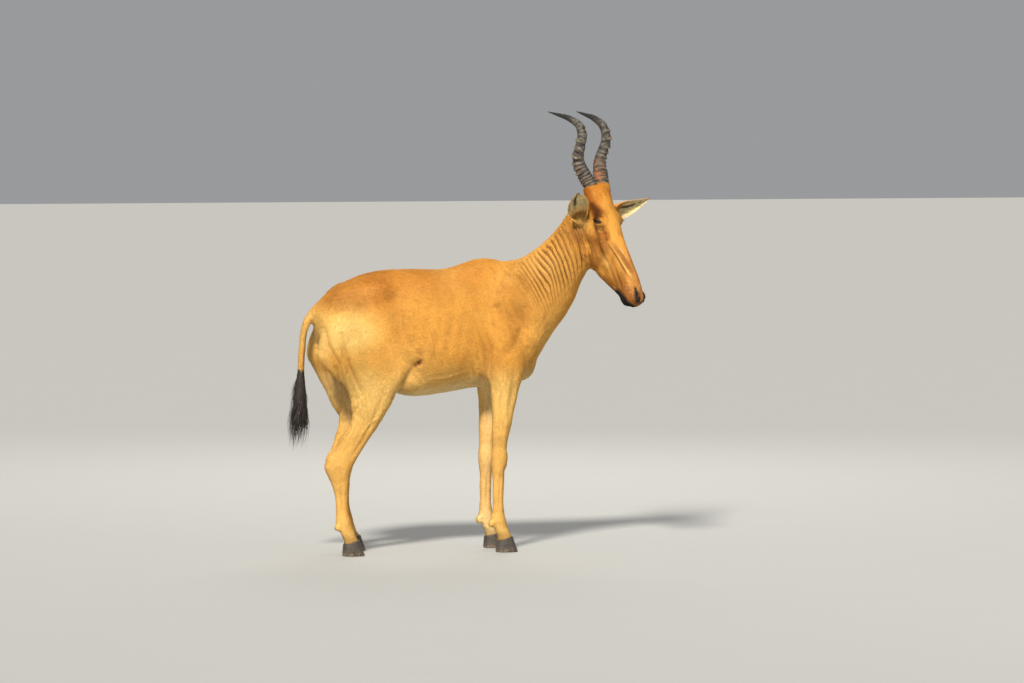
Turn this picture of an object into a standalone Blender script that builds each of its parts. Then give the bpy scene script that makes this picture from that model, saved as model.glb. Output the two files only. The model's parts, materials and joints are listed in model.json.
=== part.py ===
"""Adult hartebeest standing square with its head turned to its own right, life size, as a still model.

The animal faces +X, its left side is +Y and +Z is up. Sizes are in metres.
"""

import math
import random

import bmesh
import bpy
import numpy as np
from mathutils import Matrix, Vector

# Driving sizes
CUT = 0.0003  # gap left where two parts meet
BODY_VOXEL = 0.0058
HEAD_VOXEL = 0.0036
BODY_TRIANGLES = 6000
HEAD_TRIANGLES = 2300

POLL = Vector((0.731, -0.161, 1.587))  # middle of the top of the horn pedestal
HEAD_YAW = math.radians(-53.0)
HEAD_PITCH = math.radians(64.0)

EYE_RADIUS = 0.0215
EYE_AT = (0.160, 0.0635, -0.011)  # along the head, sideways, towards the forehead
LID = 0.0042

HORN_RADIUS = 0.0315
HORN_RINGS = 13
EAR_LENGTH = 0.208
EAR_WIDTH = 0.047

HOOF_TOP = 0.060
HOOF_TILT = math.radians(15.0)
CLEFT_HEEL = 0.004
CLEFT_TOE = 0.012

TUFT_TOP = 0.775
TUFT_LOCKS = 18

COLOURS = {
    "hide": (0.60, 0.33, 0.13, 1.0),
    "pale": (0.74, 0.50, 0.26, 1.0),
    "face": (0.50, 0.22, 0.08, 1.0),
    "horn": (0.10, 0.08, 0.065, 1.0),
    "hoof": (0.05, 0.042, 0.036, 1.0),
    "hair": (0.02, 0.017, 0.015, 1.0),
    "ear": (0.66, 0.42, 0.22, 1.0),
    "eye": (0.016, 0.010, 0.007, 1.0),
}


def material(name):
    """The named colour as a plain material, made once."""
    found = bpy.data.materials.get(name)
    if found:
        return found
    made = bpy.data.materials.new(name)
    made.use_nodes = True
    shader = made.node_tree.nodes["Principled BSDF"]
    shader.inputs["Base Color"].default_value = COLOURS[name]
    shader.inputs["Roughness"].default_value = 0.12 if name == "eye" else 0.7
    made.diffuse_color = COLOURS[name]
    return made


def mesh_object(name, points, faces):
    """A new mesh object with its normals facing out."""
    mesh = bpy.data.meshes.new(name)
    mesh.from_pydata([tuple(map(float, p)) for p in points], [], [tuple(map(int, f)) for f in faces])
    made = bmesh.new()
    made.from_mesh(mesh)
    bmesh.ops.recalc_face_normals(made, faces=made.faces)
    made.to_mesh(mesh)
    made.free()
    obj = bpy.data.objects.new(name, mesh)
    bpy.context.scene.collection.objects.link(obj)
    return obj


def discard(*objects):
    """Removes helper objects with their meshes."""
    for obj in objects:
        mesh = obj.data
        bpy.data.objects.remove(obj)
        if mesh.users == 0:
            bpy.data.meshes.remove(mesh)


def through(rows, steps):
    """Rows of numbers on a smooth path through the given rows, `steps` to a span."""
    rows = np.array(rows, float)
    ends = np.vstack([2 * rows[0] - rows[1], rows, 2 * rows[-1] - rows[-2]])
    found = []
    for i in range(1, len(ends) - 2):
        a, b, c, d = ends[i - 1 : i + 3]
        for k in range(steps):
            t = k / steps
            linear = (c - a) * t
            square = (2 * a - 5 * b + 4 * c - d) * t * t
            cube = (3 * b - 3 * c + d - a) * t**3
            found.append(0.5 * (2 * b + linear + square + cube))
    found.append(ends[-2])
    return np.array(found)


def ring(centre, up, side, rise, drop, wide, power, around):
    """Points of a rounded section: `rise` and `drop` along up, `wide` along side."""
    turn = np.linspace(0, 2 * math.pi, around, endpoint=False)
    c = np.cos(turn)
    s = np.sin(turn)
    across = np.sign(c) * np.abs(c) ** (2 / power) * wide
    along = np.sign(s) * np.abs(s) ** (2 / power) * np.where(s > 0, rise, drop)
    return np.outer(across, side) + np.outer(along, up) + np.array(centre)


def skin_rings(name, rings):
    """A closed tube over rings of equal length, closed by a fan at each end."""
    rings = np.array(rings, float)
    count, around = rings.shape[:2]
    points = list(rings.reshape(-1, 3)) + [rings[0].mean(axis=0), rings[-1].mean(axis=0)]
    faces = []
    for i in range(count - 1):
        for j in range(around):
            k = (j + 1) % around
            faces.append((i * around + j, i * around + k, (i + 1) * around + k, (i + 1) * around + j))
    for j in range(around):
        k = (j + 1) % around
        faces.append((count * around, k, j))
        last = (count - 1) * around
        faces.append((count * around + 1, last + j, last + k))
    return mesh_object(name, points, faces)


def ellipsoid(name, centre, radii, turn=None, around=24):
    """A closed ball scaled to three radii and turned."""
    made = bmesh.new()
    bmesh.ops.create_uvsphere(made, u_segments=around, v_segments=around // 2, radius=1.0)
    mesh = bpy.data.meshes.new(name)
    scale = Matrix.Diagonal((*radii, 1.0))
    made.transform(Matrix.Translation(Vector(centre)) @ (turn or Matrix.Identity(4)) @ scale)
    made.to_mesh(mesh)
    made.free()
    obj = bpy.data.objects.new(name, mesh)
    bpy.context.scene.collection.objects.link(obj)
    return obj


def disc(name, centre, normal, radius, thick=CUT, sides=28):
    """A thin disc for a cut, in the plane through centre."""
    axis = Vector(normal).normalized()
    turn = axis.to_track_quat("Z", "Y").to_matrix()
    first = np.array(turn.col[0])
    second = np.array(turn.col[1])
    rings = []
    for shift in (-0.5, 0.5):
        middle = np.array(centre) + np.array(axis) * shift * thick
        rings.append(ring(middle, second, first, radius, radius, radius, 2.0, sides))
    return skin_rings(name, rings)


def joined(name, objects):
    """One mesh object that holds copies of the given ones, which are removed."""
    points = []
    faces = []
    for obj in objects:
        base = len(points)
        points.extend(obj.matrix_world @ v.co for v in obj.data.vertices)
        faces.extend(tuple(base + i for i in p.vertices) for p in obj.data.polygons)
    mesh = bpy.data.meshes.new(name)
    mesh.from_pydata([tuple(p) for p in points], [], faces)
    obj = bpy.data.objects.new(name, mesh)
    bpy.context.scene.collection.objects.link(obj)
    discard(*objects)
    return obj


def applied(obj):
    """The object with its modifiers turned into mesh."""
    graph = bpy.context.evaluated_depsgraph_get()
    made = bpy.data.meshes.new_from_object(obj.evaluated_get(graph))
    old = obj.data
    obj.modifiers.clear()
    obj.data = made
    bpy.data.meshes.remove(old)
    return obj


def boolean(obj, others, operation, solver="MANIFOLD"):
    """Adds or cuts all the others in one step, then removes them."""
    holder = bpy.data.collections.new("helpers")
    bpy.context.scene.collection.children.link(holder)
    for other in others:
        bpy.context.scene.collection.objects.unlink(other)
        holder.objects.link(other)
    step = obj.modifiers.new(operation.title(), "BOOLEAN")
    step.operation = operation
    step.operand_type = "COLLECTION"
    step.collection = holder
    step.solver = solver
    applied(obj)
    discard(*others)
    bpy.data.collections.remove(holder)
    return obj


def bodies(obj):
    """Vertex numbers of each closed surface of the mesh, largest first."""
    count = len(obj.data.vertices)
    edges = np.empty(len(obj.data.edges) * 2, np.int32)
    obj.data.edges.foreach_get("vertices", edges)
    edges = edges.reshape(-1, 2)
    label = np.arange(count)
    while True:
        low = np.minimum(label[edges[:, 0]], label[edges[:, 1]])
        new = label.copy()
        np.minimum.at(new, edges[:, 0], low)
        np.minimum.at(new, edges[:, 1], low)
        new = new[new]
        if (new == label).all():
            break
        label = new
    found = [np.flatnonzero(label == name) for name in np.unique(label)]
    return sorted(found, key=len, reverse=True)


def split(obj, named, least=0.004):
    """One object for each name, from the closed surface whose middle is nearest to its point."""
    points = np.array([v.co for v in obj.data.vertices])
    parts = [part for part in bodies(obj) if np.ptp(points[part], axis=0).max() > least]
    middles = [(points[part].max(axis=0) + points[part].min(axis=0)) / 2 for part in parts]
    faces = [tuple(p.vertices) for p in obj.data.polygons]
    made = {}
    taken = []
    for name, (near, _) in named.items():
        best = min(range(len(parts)), key=lambda i: np.linalg.norm(middles[i] - np.array(near)))
        if best in taken:
            raise RuntimeError(f"{name} has no closed surface of its own")
        taken.append(best)
        part = parts[best]
        number = {int(v): i for i, v in enumerate(part)}
        kept = [tuple(number[v] for v in f) for f in faces if f[0] in number]
        made[name] = mesh_object(name, points[part], kept)
    discard(obj)
    return made


def largest(obj):
    """The object with only its largest closed surface."""
    found = bodies(obj)
    if len(found) == 1:
        return obj
    points = np.array([v.co for v in obj.data.vertices])
    part = found[0]
    number = {int(v): i for i, v in enumerate(part)}
    kept = [tuple(number[v] for v in p.vertices) for p in obj.data.polygons if p.vertices[0] in number]
    name = obj.name
    mesh = bpy.data.meshes.new(name)
    mesh.from_pydata([tuple(p) for p in points[part]], [], kept)
    old = obj.data
    obj.data = mesh
    bpy.data.meshes.remove(old)
    return obj


def remeshed(obj, voxel):
    """The outer surface of all that the mesh holds, in even squares."""
    step = obj.modifiers.new("Remesh", "REMESH")
    step.mode = "VOXEL"
    step.voxel_size = voxel
    step.adaptivity = 0.0
    return largest(applied(obj))


def relaxed(obj, rounds, weight_of):
    """Moves each point towards the middle of its neighbours; weight_of gives 0 to 1 for each point."""
    mesh = obj.data
    points = np.empty(len(mesh.vertices) * 3)
    mesh.vertices.foreach_get("co", points)
    points = points.reshape(-1, 3)
    edges = np.empty(len(mesh.edges) * 2, np.int32)
    mesh.edges.foreach_get("vertices", edges)
    edges = edges.reshape(-1, 2)
    ends = np.concatenate([edges[:, 0], edges[:, 1]])
    others = np.concatenate([edges[:, 1], edges[:, 0]])
    valence = np.bincount(ends, minlength=len(points))[:, None]
    weight = weight_of(points)[:, None]
    for turn in range(rounds):
        total = np.stack([np.bincount(ends, points[others, i], len(points)) for i in range(3)], axis=1)
        step = total / valence - points
        points = points + (0.55 if turn % 2 == 0 else -0.30) * weight * step
    mesh.vertices.foreach_set("co", points.reshape(-1))
    mesh.update()
    return obj


def thinned(obj, triangles):
    """The mesh with about this many triangles."""
    count = sum(len(p.vertices) - 2 for p in obj.data.polygons)
    step = obj.modifiers.new("Decimate", "DECIMATE")
    step.ratio = min(1.0, triangles / count)
    step.use_collapse_triangulate = True
    return applied(obj)


# The head's own frame: forward and left lie level, down the head and out of the forehead don't
FACING = Vector((math.cos(HEAD_YAW), math.sin(HEAD_YAW), 0.0))
LEFT = Vector((-FACING.y, FACING.x, 0.0))
DOWN_HEAD = FACING * math.cos(HEAD_PITCH) - Vector((0, 0, 1)) * math.sin(HEAD_PITCH)
OUT_OF_FACE = FACING * math.sin(HEAD_PITCH) + Vector((0, 0, 1)) * math.cos(HEAD_PITCH)


def in_head(along, left, out):
    """A point of the head: from the poll towards the nose, to its left, and out of the forehead."""
    return POLL + DOWN_HEAD * along + LEFT * left + OUT_OF_FACE * out


def level_in_head(forward, left, up):
    """A point near the head by level directions from the poll."""
    return POLL + FACING * forward + LEFT * left + Vector((0, 0, up))


def head_turn():
    """The turn from the head's frame (along, left, out) to the world."""
    turn = Matrix.Identity(3)
    turn.col[0] = DOWN_HEAD
    turn.col[1] = LEFT
    turn.col[2] = OUT_OF_FACE
    return turn.to_4x4()


def trunk():
    """Rump, barrel, chest and withers. Each row: x, top, bottom, half width, height of the widest line, power."""
    stations = [
        (-0.494, 1.070, 0.985, 0.045, 1.02, 2.0),
        (-0.468, 1.103, 0.905, 0.088, 1.01, 2.0),
        (-0.420, 1.143, 0.855, 0.122, 1.00, 2.0),
        (-0.350, 1.186, 0.820, 0.146, 0.99, 2.0),
        (-0.260, 1.218, 0.765, 0.158, 0.97, 2.0),
        (-0.170, 1.232, 0.712, 0.160, 0.95, 2.0),
        (-0.090, 1.234, 0.681, 0.166, 0.93, 2.1),
        (0.000, 1.232, 0.680, 0.170, 0.92, 2.1),
        (0.095, 1.234, 0.692, 0.166, 0.92, 2.0),
        (0.190, 1.264, 0.707, 0.152, 0.92, 1.85),
        (0.265, 1.282, 0.712, 0.138, 0.92, 1.75),
        (0.350, 1.262, 0.712, 0.126, 0.93, 1.8),
        (0.430, 1.200, 0.738, 0.105, 0.94, 2.0),
        (0.480, 1.080, 0.792, 0.075, 0.92, 2.0),
        (0.508, 0.960, 0.850, 0.034, 0.91, 2.0),
    ]
    rings = []
    for x, top, bottom, wide, level, power in through(stations, 4):
        rings.append(ring((x, 0, level), (0, 0, 1), (0, 1, 0), top - level, level - bottom, wide, power, 40))
    return skin_rings("trunk", rings)


def neck(first=0):
    """The neck from a station on. Each row: middle x, y, z, heading, lean of the section, half depth, half width."""
    stations = [
        (0.300, 0.000, 1.030, 0, 20.0, 0.250, 0.105),
        (0.392, 0.000, 1.028, -2, 20.0, 0.240, 0.110),
        (0.429, -0.003, 1.049, -4, 20.4, 0.226, 0.110),
        (0.492, -0.012, 1.097, -8, 18.6, 0.190, 0.103),
        (0.536, -0.025, 1.143, -12, 19.0, 0.175, 0.096),
        (0.584, -0.040, 1.198, -18, 20.0, 0.160, 0.090),
        (0.617, -0.058, 1.252, -24, 19.0, 0.150, 0.085),
        (0.641, -0.078, 1.303, -30, 15.5, 0.144, 0.080),
        (0.668, -0.102, 1.352, -37, 14.0, 0.142, 0.076),
        (0.700, -0.130, 1.400, -45, 14.0, 0.130, 0.070),
    ]
    rings = []
    for x, y, z, heading, lean, deep, wide in through(stations[first:], 4):
        heading = math.radians(heading)
        lean = math.radians(lean)
        ahead = np.array((math.cos(heading), math.sin(heading), 0))
        side = np.array((-ahead[1], ahead[0], 0))
        up = np.array((0, 0, 1)) * math.cos(lean) - ahead * math.sin(lean)
        rings.append(ring((x, y, z), up, side, deep, deep, wide, 2.0, 36))
    return skin_rings("neck", rings)


def fore_leg(side):
    """A foreleg by level sections. Each row: height, back, front, distance from the middle, half width."""
    stations = [
        (1.000, 0.215, 0.410, 0.085, 0.050),
        (0.900, 0.210, 0.430, 0.100, 0.056),
        (0.820, 0.225, 0.430, 0.110, 0.054),
        (0.760, 0.248, 0.415, 0.116, 0.049),
        (0.713, 0.260, 0.397, 0.118, 0.044),
        (0.626, 0.270, 0.373, 0.116, 0.037),
        (0.543, 0.271, 0.355, 0.114, 0.031),
        (0.461, 0.272, 0.338, 0.112, 0.0275),
        (0.420, 0.268, 0.340, 0.112, 0.031),
        (0.385, 0.267, 0.339, 0.111, 0.031),
        (0.355, 0.270, 0.329, 0.110, 0.027),
        (0.300, 0.276, 0.326, 0.109, 0.0225),
        (0.220, 0.277, 0.324, 0.108, 0.0210),
        (0.170, 0.273, 0.328, 0.107, 0.0245),
        (0.140, 0.269, 0.336, 0.107, 0.0285),
        (0.110, 0.280, 0.344, 0.106, 0.0265),
        (0.085, 0.292, 0.353, 0.106, 0.0255),
        (0.060, 0.299, 0.366, 0.106, 0.0290),
        (0.030, 0.300, 0.372, 0.106, 0.0290),
    ]
    return leg("fore_leg", stations, side)


def hind_leg(side):
    """A hind leg by level sections, as fore_leg. The left one stands a little further forward."""
    stations = [
        (1.080, -0.440, -0.220, 0.070, 0.055),
        (1.000, -0.475, -0.160, 0.086, 0.068),
        (0.930, -0.497, -0.115, 0.098, 0.070),
        (0.852, -0.503, -0.088, 0.110, 0.064),
        (0.790, -0.455, -0.100, 0.118, 0.057),
        (0.743, -0.410, -0.125, 0.122, 0.051),
        (0.696, -0.374, -0.150, 0.124, 0.045),
        (0.652, -0.362, -0.178, 0.125, 0.040),
        (0.596, -0.365, -0.215, 0.126, 0.035),
        (0.550, -0.388, -0.245, 0.126, 0.032),
        (0.513, -0.413, -0.272, 0.126, 0.030),
        (0.450, -0.449, -0.315, 0.126, 0.0285),
        (0.415, -0.472, -0.337, 0.126, 0.0310),
        (0.385, -0.478, -0.352, 0.126, 0.0315),
        (0.350, -0.466, -0.362, 0.125, 0.0285),
        (0.305, -0.444, -0.370, 0.124, 0.0245),
        (0.240, -0.430, -0.374, 0.123, 0.0215),
        (0.185, -0.426, -0.370, 0.122, 0.0235),
        (0.150, -0.426, -0.360, 0.121, 0.0285),
        (0.115, -0.412, -0.351, 0.121, 0.0265),
        (0.085, -0.398, -0.340, 0.121, 0.0255),
        (0.060, -0.389, -0.322, 0.121, 0.0285),
        (0.030, -0.386, -0.317, 0.121, 0.0285),
    ]
    if side > 0:
        stations = [
            (z, back + hind_shift(z, 0.018), front + hind_shift(z, 0.0), y, wide)
            for z, back, front, y, wide in stations
        ]
    return leg("hind_leg", stations, side)


def hind_shift(z, fuller):
    """How far the left hind leg stands ahead of the right one at a height."""
    ahead = 0.062 * min(1.0, max(0.0, (0.70 - z) / 0.26))
    behind = (0.030 + fuller) * math.exp(-(((z - 0.655) / 0.075) ** 2))
    thigh = 1.45 * fuller * math.exp(-(((z - 0.745) / 0.05) ** 2))
    return ahead - behind - thigh


def leg(name, stations, side):
    """A closed leg through level sections."""
    rings = []
    for z, back, front, y, wide in through(stations, 3):
        half = (front - back) / 2
        middle = ((front + back) / 2, side * y, z)
        rings.append(ring(middle, (1, 0, 0), (0, 1, 0), half, half, wide, 2.15, 24))
    return skin_rings(name, rings)


def muscles():
    """Rounded masses that lie under the hide, the same on both sides."""
    made = []
    rows = [
        ("blade", (0.330, 0.086, 1.050), (0.085, 0.040, 0.190), 24),
        ("shoulder_point", (0.425, 0.070, 0.890), (0.070, 0.052, 0.110), 10),
        ("triceps", (0.290, 0.108, 0.865), (0.110, 0.045, 0.105), -20),
        ("elbow", (0.268, 0.118, 0.785), (0.045, 0.032, 0.060), -20),
        ("hip", (-0.225, 0.094, 1.120), (0.095, 0.048, 0.075), -10),
        ("rump", (-0.340, 0.080, 1.080), (0.125, 0.062, 0.095), -30),
        ("thigh", (-0.350, 0.108, 0.930), (0.135, 0.058, 0.165), 12),
        ("fore_thigh", (-0.180, 0.108, 0.890), (0.095, 0.052, 0.150), -12),
        ("stifle", (-0.150, 0.122, 0.785), (0.055, 0.042, 0.075), 10),
        ("calf", (-0.300, 0.127, 0.640), (0.060, 0.038, 0.085), -25),
        ("forearm", (0.330, 0.119, 0.690), (0.056, 0.040, 0.085), 4),
    ]
    for name, (x, y, z), radii, tilt in rows:
        turn = Matrix.Rotation(math.radians(tilt), 4, "Y")
        for side in (-1, 1):
            made.append(ellipsoid(name, (x, side * y, z), radii, turn))
    made.append(ellipsoid("brisket", (0.424, 0, 0.816), (0.078, 0.066, 0.084)))
    made.append(ellipsoid("groin", (-0.260, 0, 0.830), (0.110, 0.110, 0.080)))
    for side in (-1, 1):
        made.append(ellipsoid("flank", (-0.095, side * 0.098, 0.775), (0.085, 0.036, 0.080)))
    return made


def fetlocks():
    """The small false hooves behind each fetlock."""
    made = []
    for x, y in FEET.values():
        back = -0.067 if x > 0 else -0.066
        for side in (-1, 1):
            made.append(ellipsoid("false_hoof", (x + back, y + side * 0.013, 0.125), (0.012, 0.010, 0.016), None, 16))
    return made


def tail_stalk():
    """The bare upper part of the tail. Each row: x, z, radius."""
    stations = [
        (-0.430, 1.070, 0.042),
        (-0.475, 1.064, 0.034),
        (-0.515, 1.026, 0.025),
        (-0.538, 0.965, 0.020),
        (-0.547, 0.890, 0.0185),
        (-0.551, 0.820, 0.0175),
        (-0.553, 0.760, 0.0165),
        (-0.554, 0.720, 0.0150),
    ]
    rows = through(stations, 4)
    rings = []
    for i, (x, z, radius) in enumerate(rows):
        before = rows[max(i - 1, 0)]
        after = rows[min(i + 1, len(rows) - 1)]
        way = np.array((after[0] - before[0], 0, after[1] - before[1]))
        way /= np.linalg.norm(way)
        up = np.array((-way[2], 0, way[0]))
        rings.append(ring((x, 0, z), up, (0, 1, 0), radius * 0.8, radius * 0.8, radius, 2.0, 20))
    return skin_rings("tail_stalk", rings)


def skull():
    """The long narrow head. Each row: distance from the poll, forehead, underside, half width, widest line, power."""
    stations = [
        (-0.032, 0.018, -0.028, 0.048, -0.005, 2.3),
        (-0.026, 0.026, -0.038, 0.060, -0.005, 2.4),
        (-0.014, 0.034, -0.046, 0.0690, -0.005, 2.35),
        (0.006, 0.038, -0.051, 0.0720, -0.005, 2.3),
        (0.045, 0.037, -0.066, 0.0640, -0.010, 2.1),
        (0.090, 0.034, -0.095, 0.0595, -0.020, 2.05),
        (0.135, 0.032, -0.135, 0.0610, -0.030, 2.1),
        (0.180, 0.029, -0.168, 0.0605, -0.035, 2.15),
        (0.230, 0.026, -0.190, 0.056, -0.040, 2.1),
        (0.280, 0.025, -0.192, 0.049, -0.045, 2.0),
        (0.330, 0.027, -0.176, 0.044, -0.045, 1.95),
        (0.380, 0.028, -0.150, 0.040, -0.040, 1.95),
        (0.430, 0.027, -0.122, 0.038, -0.035, 2.0),
        (0.475, 0.023, -0.098, 0.0385, -0.030, 2.1),
        (0.510, 0.017, -0.083, 0.0390, -0.028, 2.2),
        (0.538, 0.007, -0.068, 0.0340, -0.026, 2.2),
        (0.556, -0.008, -0.050, 0.0210, -0.026, 2.2),
    ]
    rings = []
    for along, top, bottom, wide, level, power in through(stations, 4):
        centre = in_head(along, 0, level)
        rise = top - level
        rings.append(ring(centre, OUT_OF_FACE, LEFT, rise, level - bottom, wide, power, 36))
    return skin_rings("skull", rings)


def head_masses():
    """Brows, cheeks, lips and ear roots on both sides of the head, and the chin and the nose."""
    made = []
    turn = head_turn()
    rows = [
        ("brow", (0.148, 0.046, -0.003), (0.044, 0.026, 0.026)),
        ("orbit", (0.162, 0.049, -0.014), (0.042, 0.026, 0.034)),
        ("cheek", (0.262, 0.032, -0.105), (0.080, 0.022, 0.066)),
        ("cheekbone", (0.225, 0.042, -0.050), (0.085, 0.014, 0.026)),
        ("jaw_joint", (0.175, 0.042, -0.085), (0.060, 0.024, 0.056)),
        ("upper_lip", (0.505, 0.024, -0.036), (0.042, 0.018, 0.022)),
        ("nostril_wing", (0.522, 0.024, -0.002), (0.030, 0.014, 0.020)),
        ("lower_lip", (0.500, 0.014, -0.072), (0.040, 0.020, 0.014)),
    ]
    for name, (along, left, out), radii in rows:
        for side in (-1, 1):
            made.append(ellipsoid(name, in_head(along, side * left, out), radii, turn))
    made.append(ellipsoid("chin", in_head(0.508, 0, -0.070), (0.034, 0.024, 0.016), turn))
    made.append(ellipsoid("nape", in_head(0.080, 0, -0.070), (0.080, 0.058, 0.050), turn))
    for side in (-1, 1):
        root, way, _ = ear_frame(side)
        swivel = way.to_track_quat("Z", "Y").to_matrix().to_4x4()
        made.append(ellipsoid("ear_root", root - way * 0.012, (0.028, 0.028, 0.040), swivel))
    return made


def ear_frame(side):
    """Root, direction and facing of an ear: side is 1 for the left ear."""
    if side < 0:
        way = FACING * 0.0915 - LEFT * 0.139 + Vector((0, 0, 0.1270))
        face = FACING * 0.700 - LEFT * 0.240 - Vector((0, 0, 0.500))
    else:
        way = FACING * 0.112 + LEFT * 0.156 + Vector((0, 0, 0.071))
        face = FACING * 0.700 - LEFT * 0.300 - Vector((0, 0, 0.500))
    way.normalize()
    face = (face - way * face.dot(way)).normalized()
    root = in_head(0.112, 0.074, -0.055) if side > 0 else in_head(0.112, -0.077, -0.096)
    return root, way, face


def ear(side):
    """A pointed leaf-shaped ear with a deep hollow that faces forward."""
    root, way, face = ear_frame(side)
    across = way.cross(face).normalized()
    rings = []
    # share of the length, half width, depth of the cup, thickness, how far the edges come round
    stations = [
        (0.000, 0.0235, 0.0230, 0.0200, 2.60),
        (0.060, 0.0265, 0.0240, 0.0150, 2.45),
        (0.130, 0.0315, 0.0260, 0.0060, 2.20),
        (0.240, 0.0375, 0.0260, 0.0042, 1.85),
        (0.380, 0.0410, 0.0235, 0.0036, 1.65),
        (0.520, 0.0395, 0.0200, 0.0034, 1.55),
        (0.660, 0.0325, 0.0160, 0.0032, 1.50),
        (0.790, 0.0225, 0.0115, 0.0030, 1.45),
        (0.900, 0.0115, 0.0070, 0.0026, 1.40),
        (0.970, 0.0048, 0.0035, 0.0020, 1.40),
        (1.000, 0.0020, 0.0015, 0.0012, 1.40),
    ]
    count = 6
    for share, wide, deep, thick, reach in through(stations, 2):
        wide *= EAR_WIDTH / 0.042 * (1.10 if side < 0 else 1.10 - 0.38 * share)
        if side < 0:
            bend = 0.010 * math.sin(math.pi * share) - 0.010 * share * share
        else:
            bend = -0.010 * math.sin(math.pi * share**1.3)
        middle = root + way * (EAR_LENGTH * share) - face * bend
        turns = np.linspace(-reach, reach, count)
        outer = [(math.sin(t) * wide, -math.cos(t) * deep) for t in turns]
        inner = []
        for t in turns[::-1]:
            shrink = thick if abs(t) < reach - 0.01 else thick * 0.45
            inner.append((math.sin(t) * max(wide - shrink, 0.0006), -math.cos(t) * max(deep - shrink, 0.0005)))
        points = [middle + across * x + face * y for x, y in outer + inner]
        rings.append([tuple(p) for p in points])
    return skin_rings("ear_left" if side > 0 else "ear_right", rings)


def horn(side):
    """A ringed horn: back and out from the poll, up, then the tips swept back. side is 1 for the left horn."""
    # forward, outward, up, radius as a share of the base
    stations = [
        (0.000, 0.0390, 0.000, 1.00),
        (-0.022, 0.0540, 0.040, 0.97),
        (-0.042, 0.0740, 0.095, 0.88),
        (-0.040, 0.0840, 0.135, 0.78),
        (-0.022, 0.0900, 0.188, 0.70),
        (-0.017, 0.0860, 0.228, 0.66),
        (-0.037, 0.0840, 0.268, 0.55),
        (-0.087, 0.0890, 0.297, 0.40),
        (-0.140, 0.0960, 0.312, 0.24),
        (-0.193, 0.1020, 0.325, 0.03),
    ]
    rows = through(stations, 6)
    line = [level_in_head(f, side * l, u) for f, l, u, _ in rows]
    shares = [row[3] for row in rows]
    lengths = np.cumsum([0.0] + [(line[i + 1] - line[i]).length for i in range(len(line) - 1)])
    whole = lengths[-1]
    rings = []
    steps = 46
    ringed = 0.66
    for i in range(steps + 1):
        share = i / steps
        at = share * whole
        middle = Vector([np.interp(at, lengths, [p[k] for p in line]) for k in range(3)])
        ahead = Vector([np.interp(at + 0.012, lengths, [p[k] for p in line]) for k in range(3)])
        behind = Vector([np.interp(max(at - 0.012, 0.0), lengths, [p[k] for p in line]) for k in range(3)])
        way = (ahead - behind).normalized()
        if i == 0:
            way = -DOWN_HEAD
        elif i < 5:
            way = (way * (i / 5) - DOWN_HEAD * (1 - i / 5)).normalized()
        first = way.cross(FACING).normalized()
        second = first.cross(way).normalized()
        radius = HORN_RADIUS * float(np.interp(at, lengths, shares))
        fade = min(1.0, max(0.0, (ringed - share) / 0.10))
        count = share / ringed
        phase = HORN_RINGS * (count**0.82)
        swell = abs(math.sin(math.pi * phase)) ** 0.7
        radius *= 1.0 + fade * 0.12 * (swell - 0.55)
        rings.append(ring(middle, second, first, radius * 1.06, radius * 1.06, radius * 0.96, 2.0, 12))
    obj = skin_rings("horn_left" if side > 0 else "horn_right", rings)
    lift = CUT - in_plane(-DOWN_HEAD, POLL, rings[0])
    for v in obj.data.vertices:
        v.co -= DOWN_HEAD * lift
    return obj


def in_plane(normal, centre, points):
    """How far the lowest of the points stands over a plane."""
    return min((Vector(p) - centre).dot(normal) for p in points)


FEET = {
    "fore_right": (0.335, -0.106),
    "fore_left": (0.335, 0.106),
    "hind_right": (-0.353, -0.121),
    "hind_left": (-0.353 + 0.062, 0.121),
}


def hoof(name, x, y):
    """The two claws of one foot, cut from a hoof by a cleft that widens to the toes."""
    # height, back, front, half width
    stations = [
        (0.000, -0.044, 0.052, 0.0385),
        (0.004, -0.045, 0.0525, 0.0390),
        (0.022, -0.044, 0.046, 0.0370),
        (0.045, -0.042, 0.037, 0.0335),
        (0.066, -0.040, 0.030, 0.0300),
        (0.090, -0.038, 0.022, 0.0280),
    ]
    rings = []
    for z, back, front, wide in stations:
        middle = (x + (back + front) / 2, y, z)
        half = (front - back) / 2
        rings.append(ring(middle, (1, 0, 0), (0, 1, 0), half, half, wide, 2.3, 14))
    obj = skin_rings(name, rings)
    slope = Vector((-math.sin(HOOF_TILT), 0, math.cos(HOOF_TILT)))
    top = Vector((x, y, HOOF_TOP)) - slope * (CUT / 2)
    lid = disc("lid", top + slope * 0.05, slope, 0.09, 0.10)
    wedge = []
    for z in (-0.02, 0.14):
        heel = CLEFT_HEEL / 2
        toe = CLEFT_TOE / 2
        wedge.append([(x - 0.09, y - heel, z), (x + 0.08, y - toe, z), (x + 0.08, y + toe, z), (x - 0.09, y + heel, z)])
    boolean(obj, [lid, skin_rings("cleft", wedge)], "DIFFERENCE")
    named = {f"hoof_{name}_inner": ((x, y * 0.80, 0.03), None), f"hoof_{name}_outer": ((x, y * 1.2, 0.03), None)}
    return split(obj, named)


def lock(points, wide, thick, facing):
    """A flat tapered lock of hair along a bent line, ending in a fine tip."""
    rows = through(points, 1)
    rings = []
    for i, at in enumerate(rows):
        share = i / (len(rows) - 1)
        way = rows[min(i + 1, len(rows) - 1)] - rows[max(i - 1, 0)]
        way /= np.linalg.norm(way)
        flat = np.cross(way, facing)
        flat /= np.linalg.norm(flat)
        out = np.cross(flat, way)
        taper = math.sin(math.pi * min(0.5, 0.22 + 0.6 * share)) * (1 - share**2.2) + 0.02
        rings.append(ring(at, out, flat, thick * taper, thick * taper, wide * taper, 2.0, 5))
    return skin_rings("lock", rings)


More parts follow.
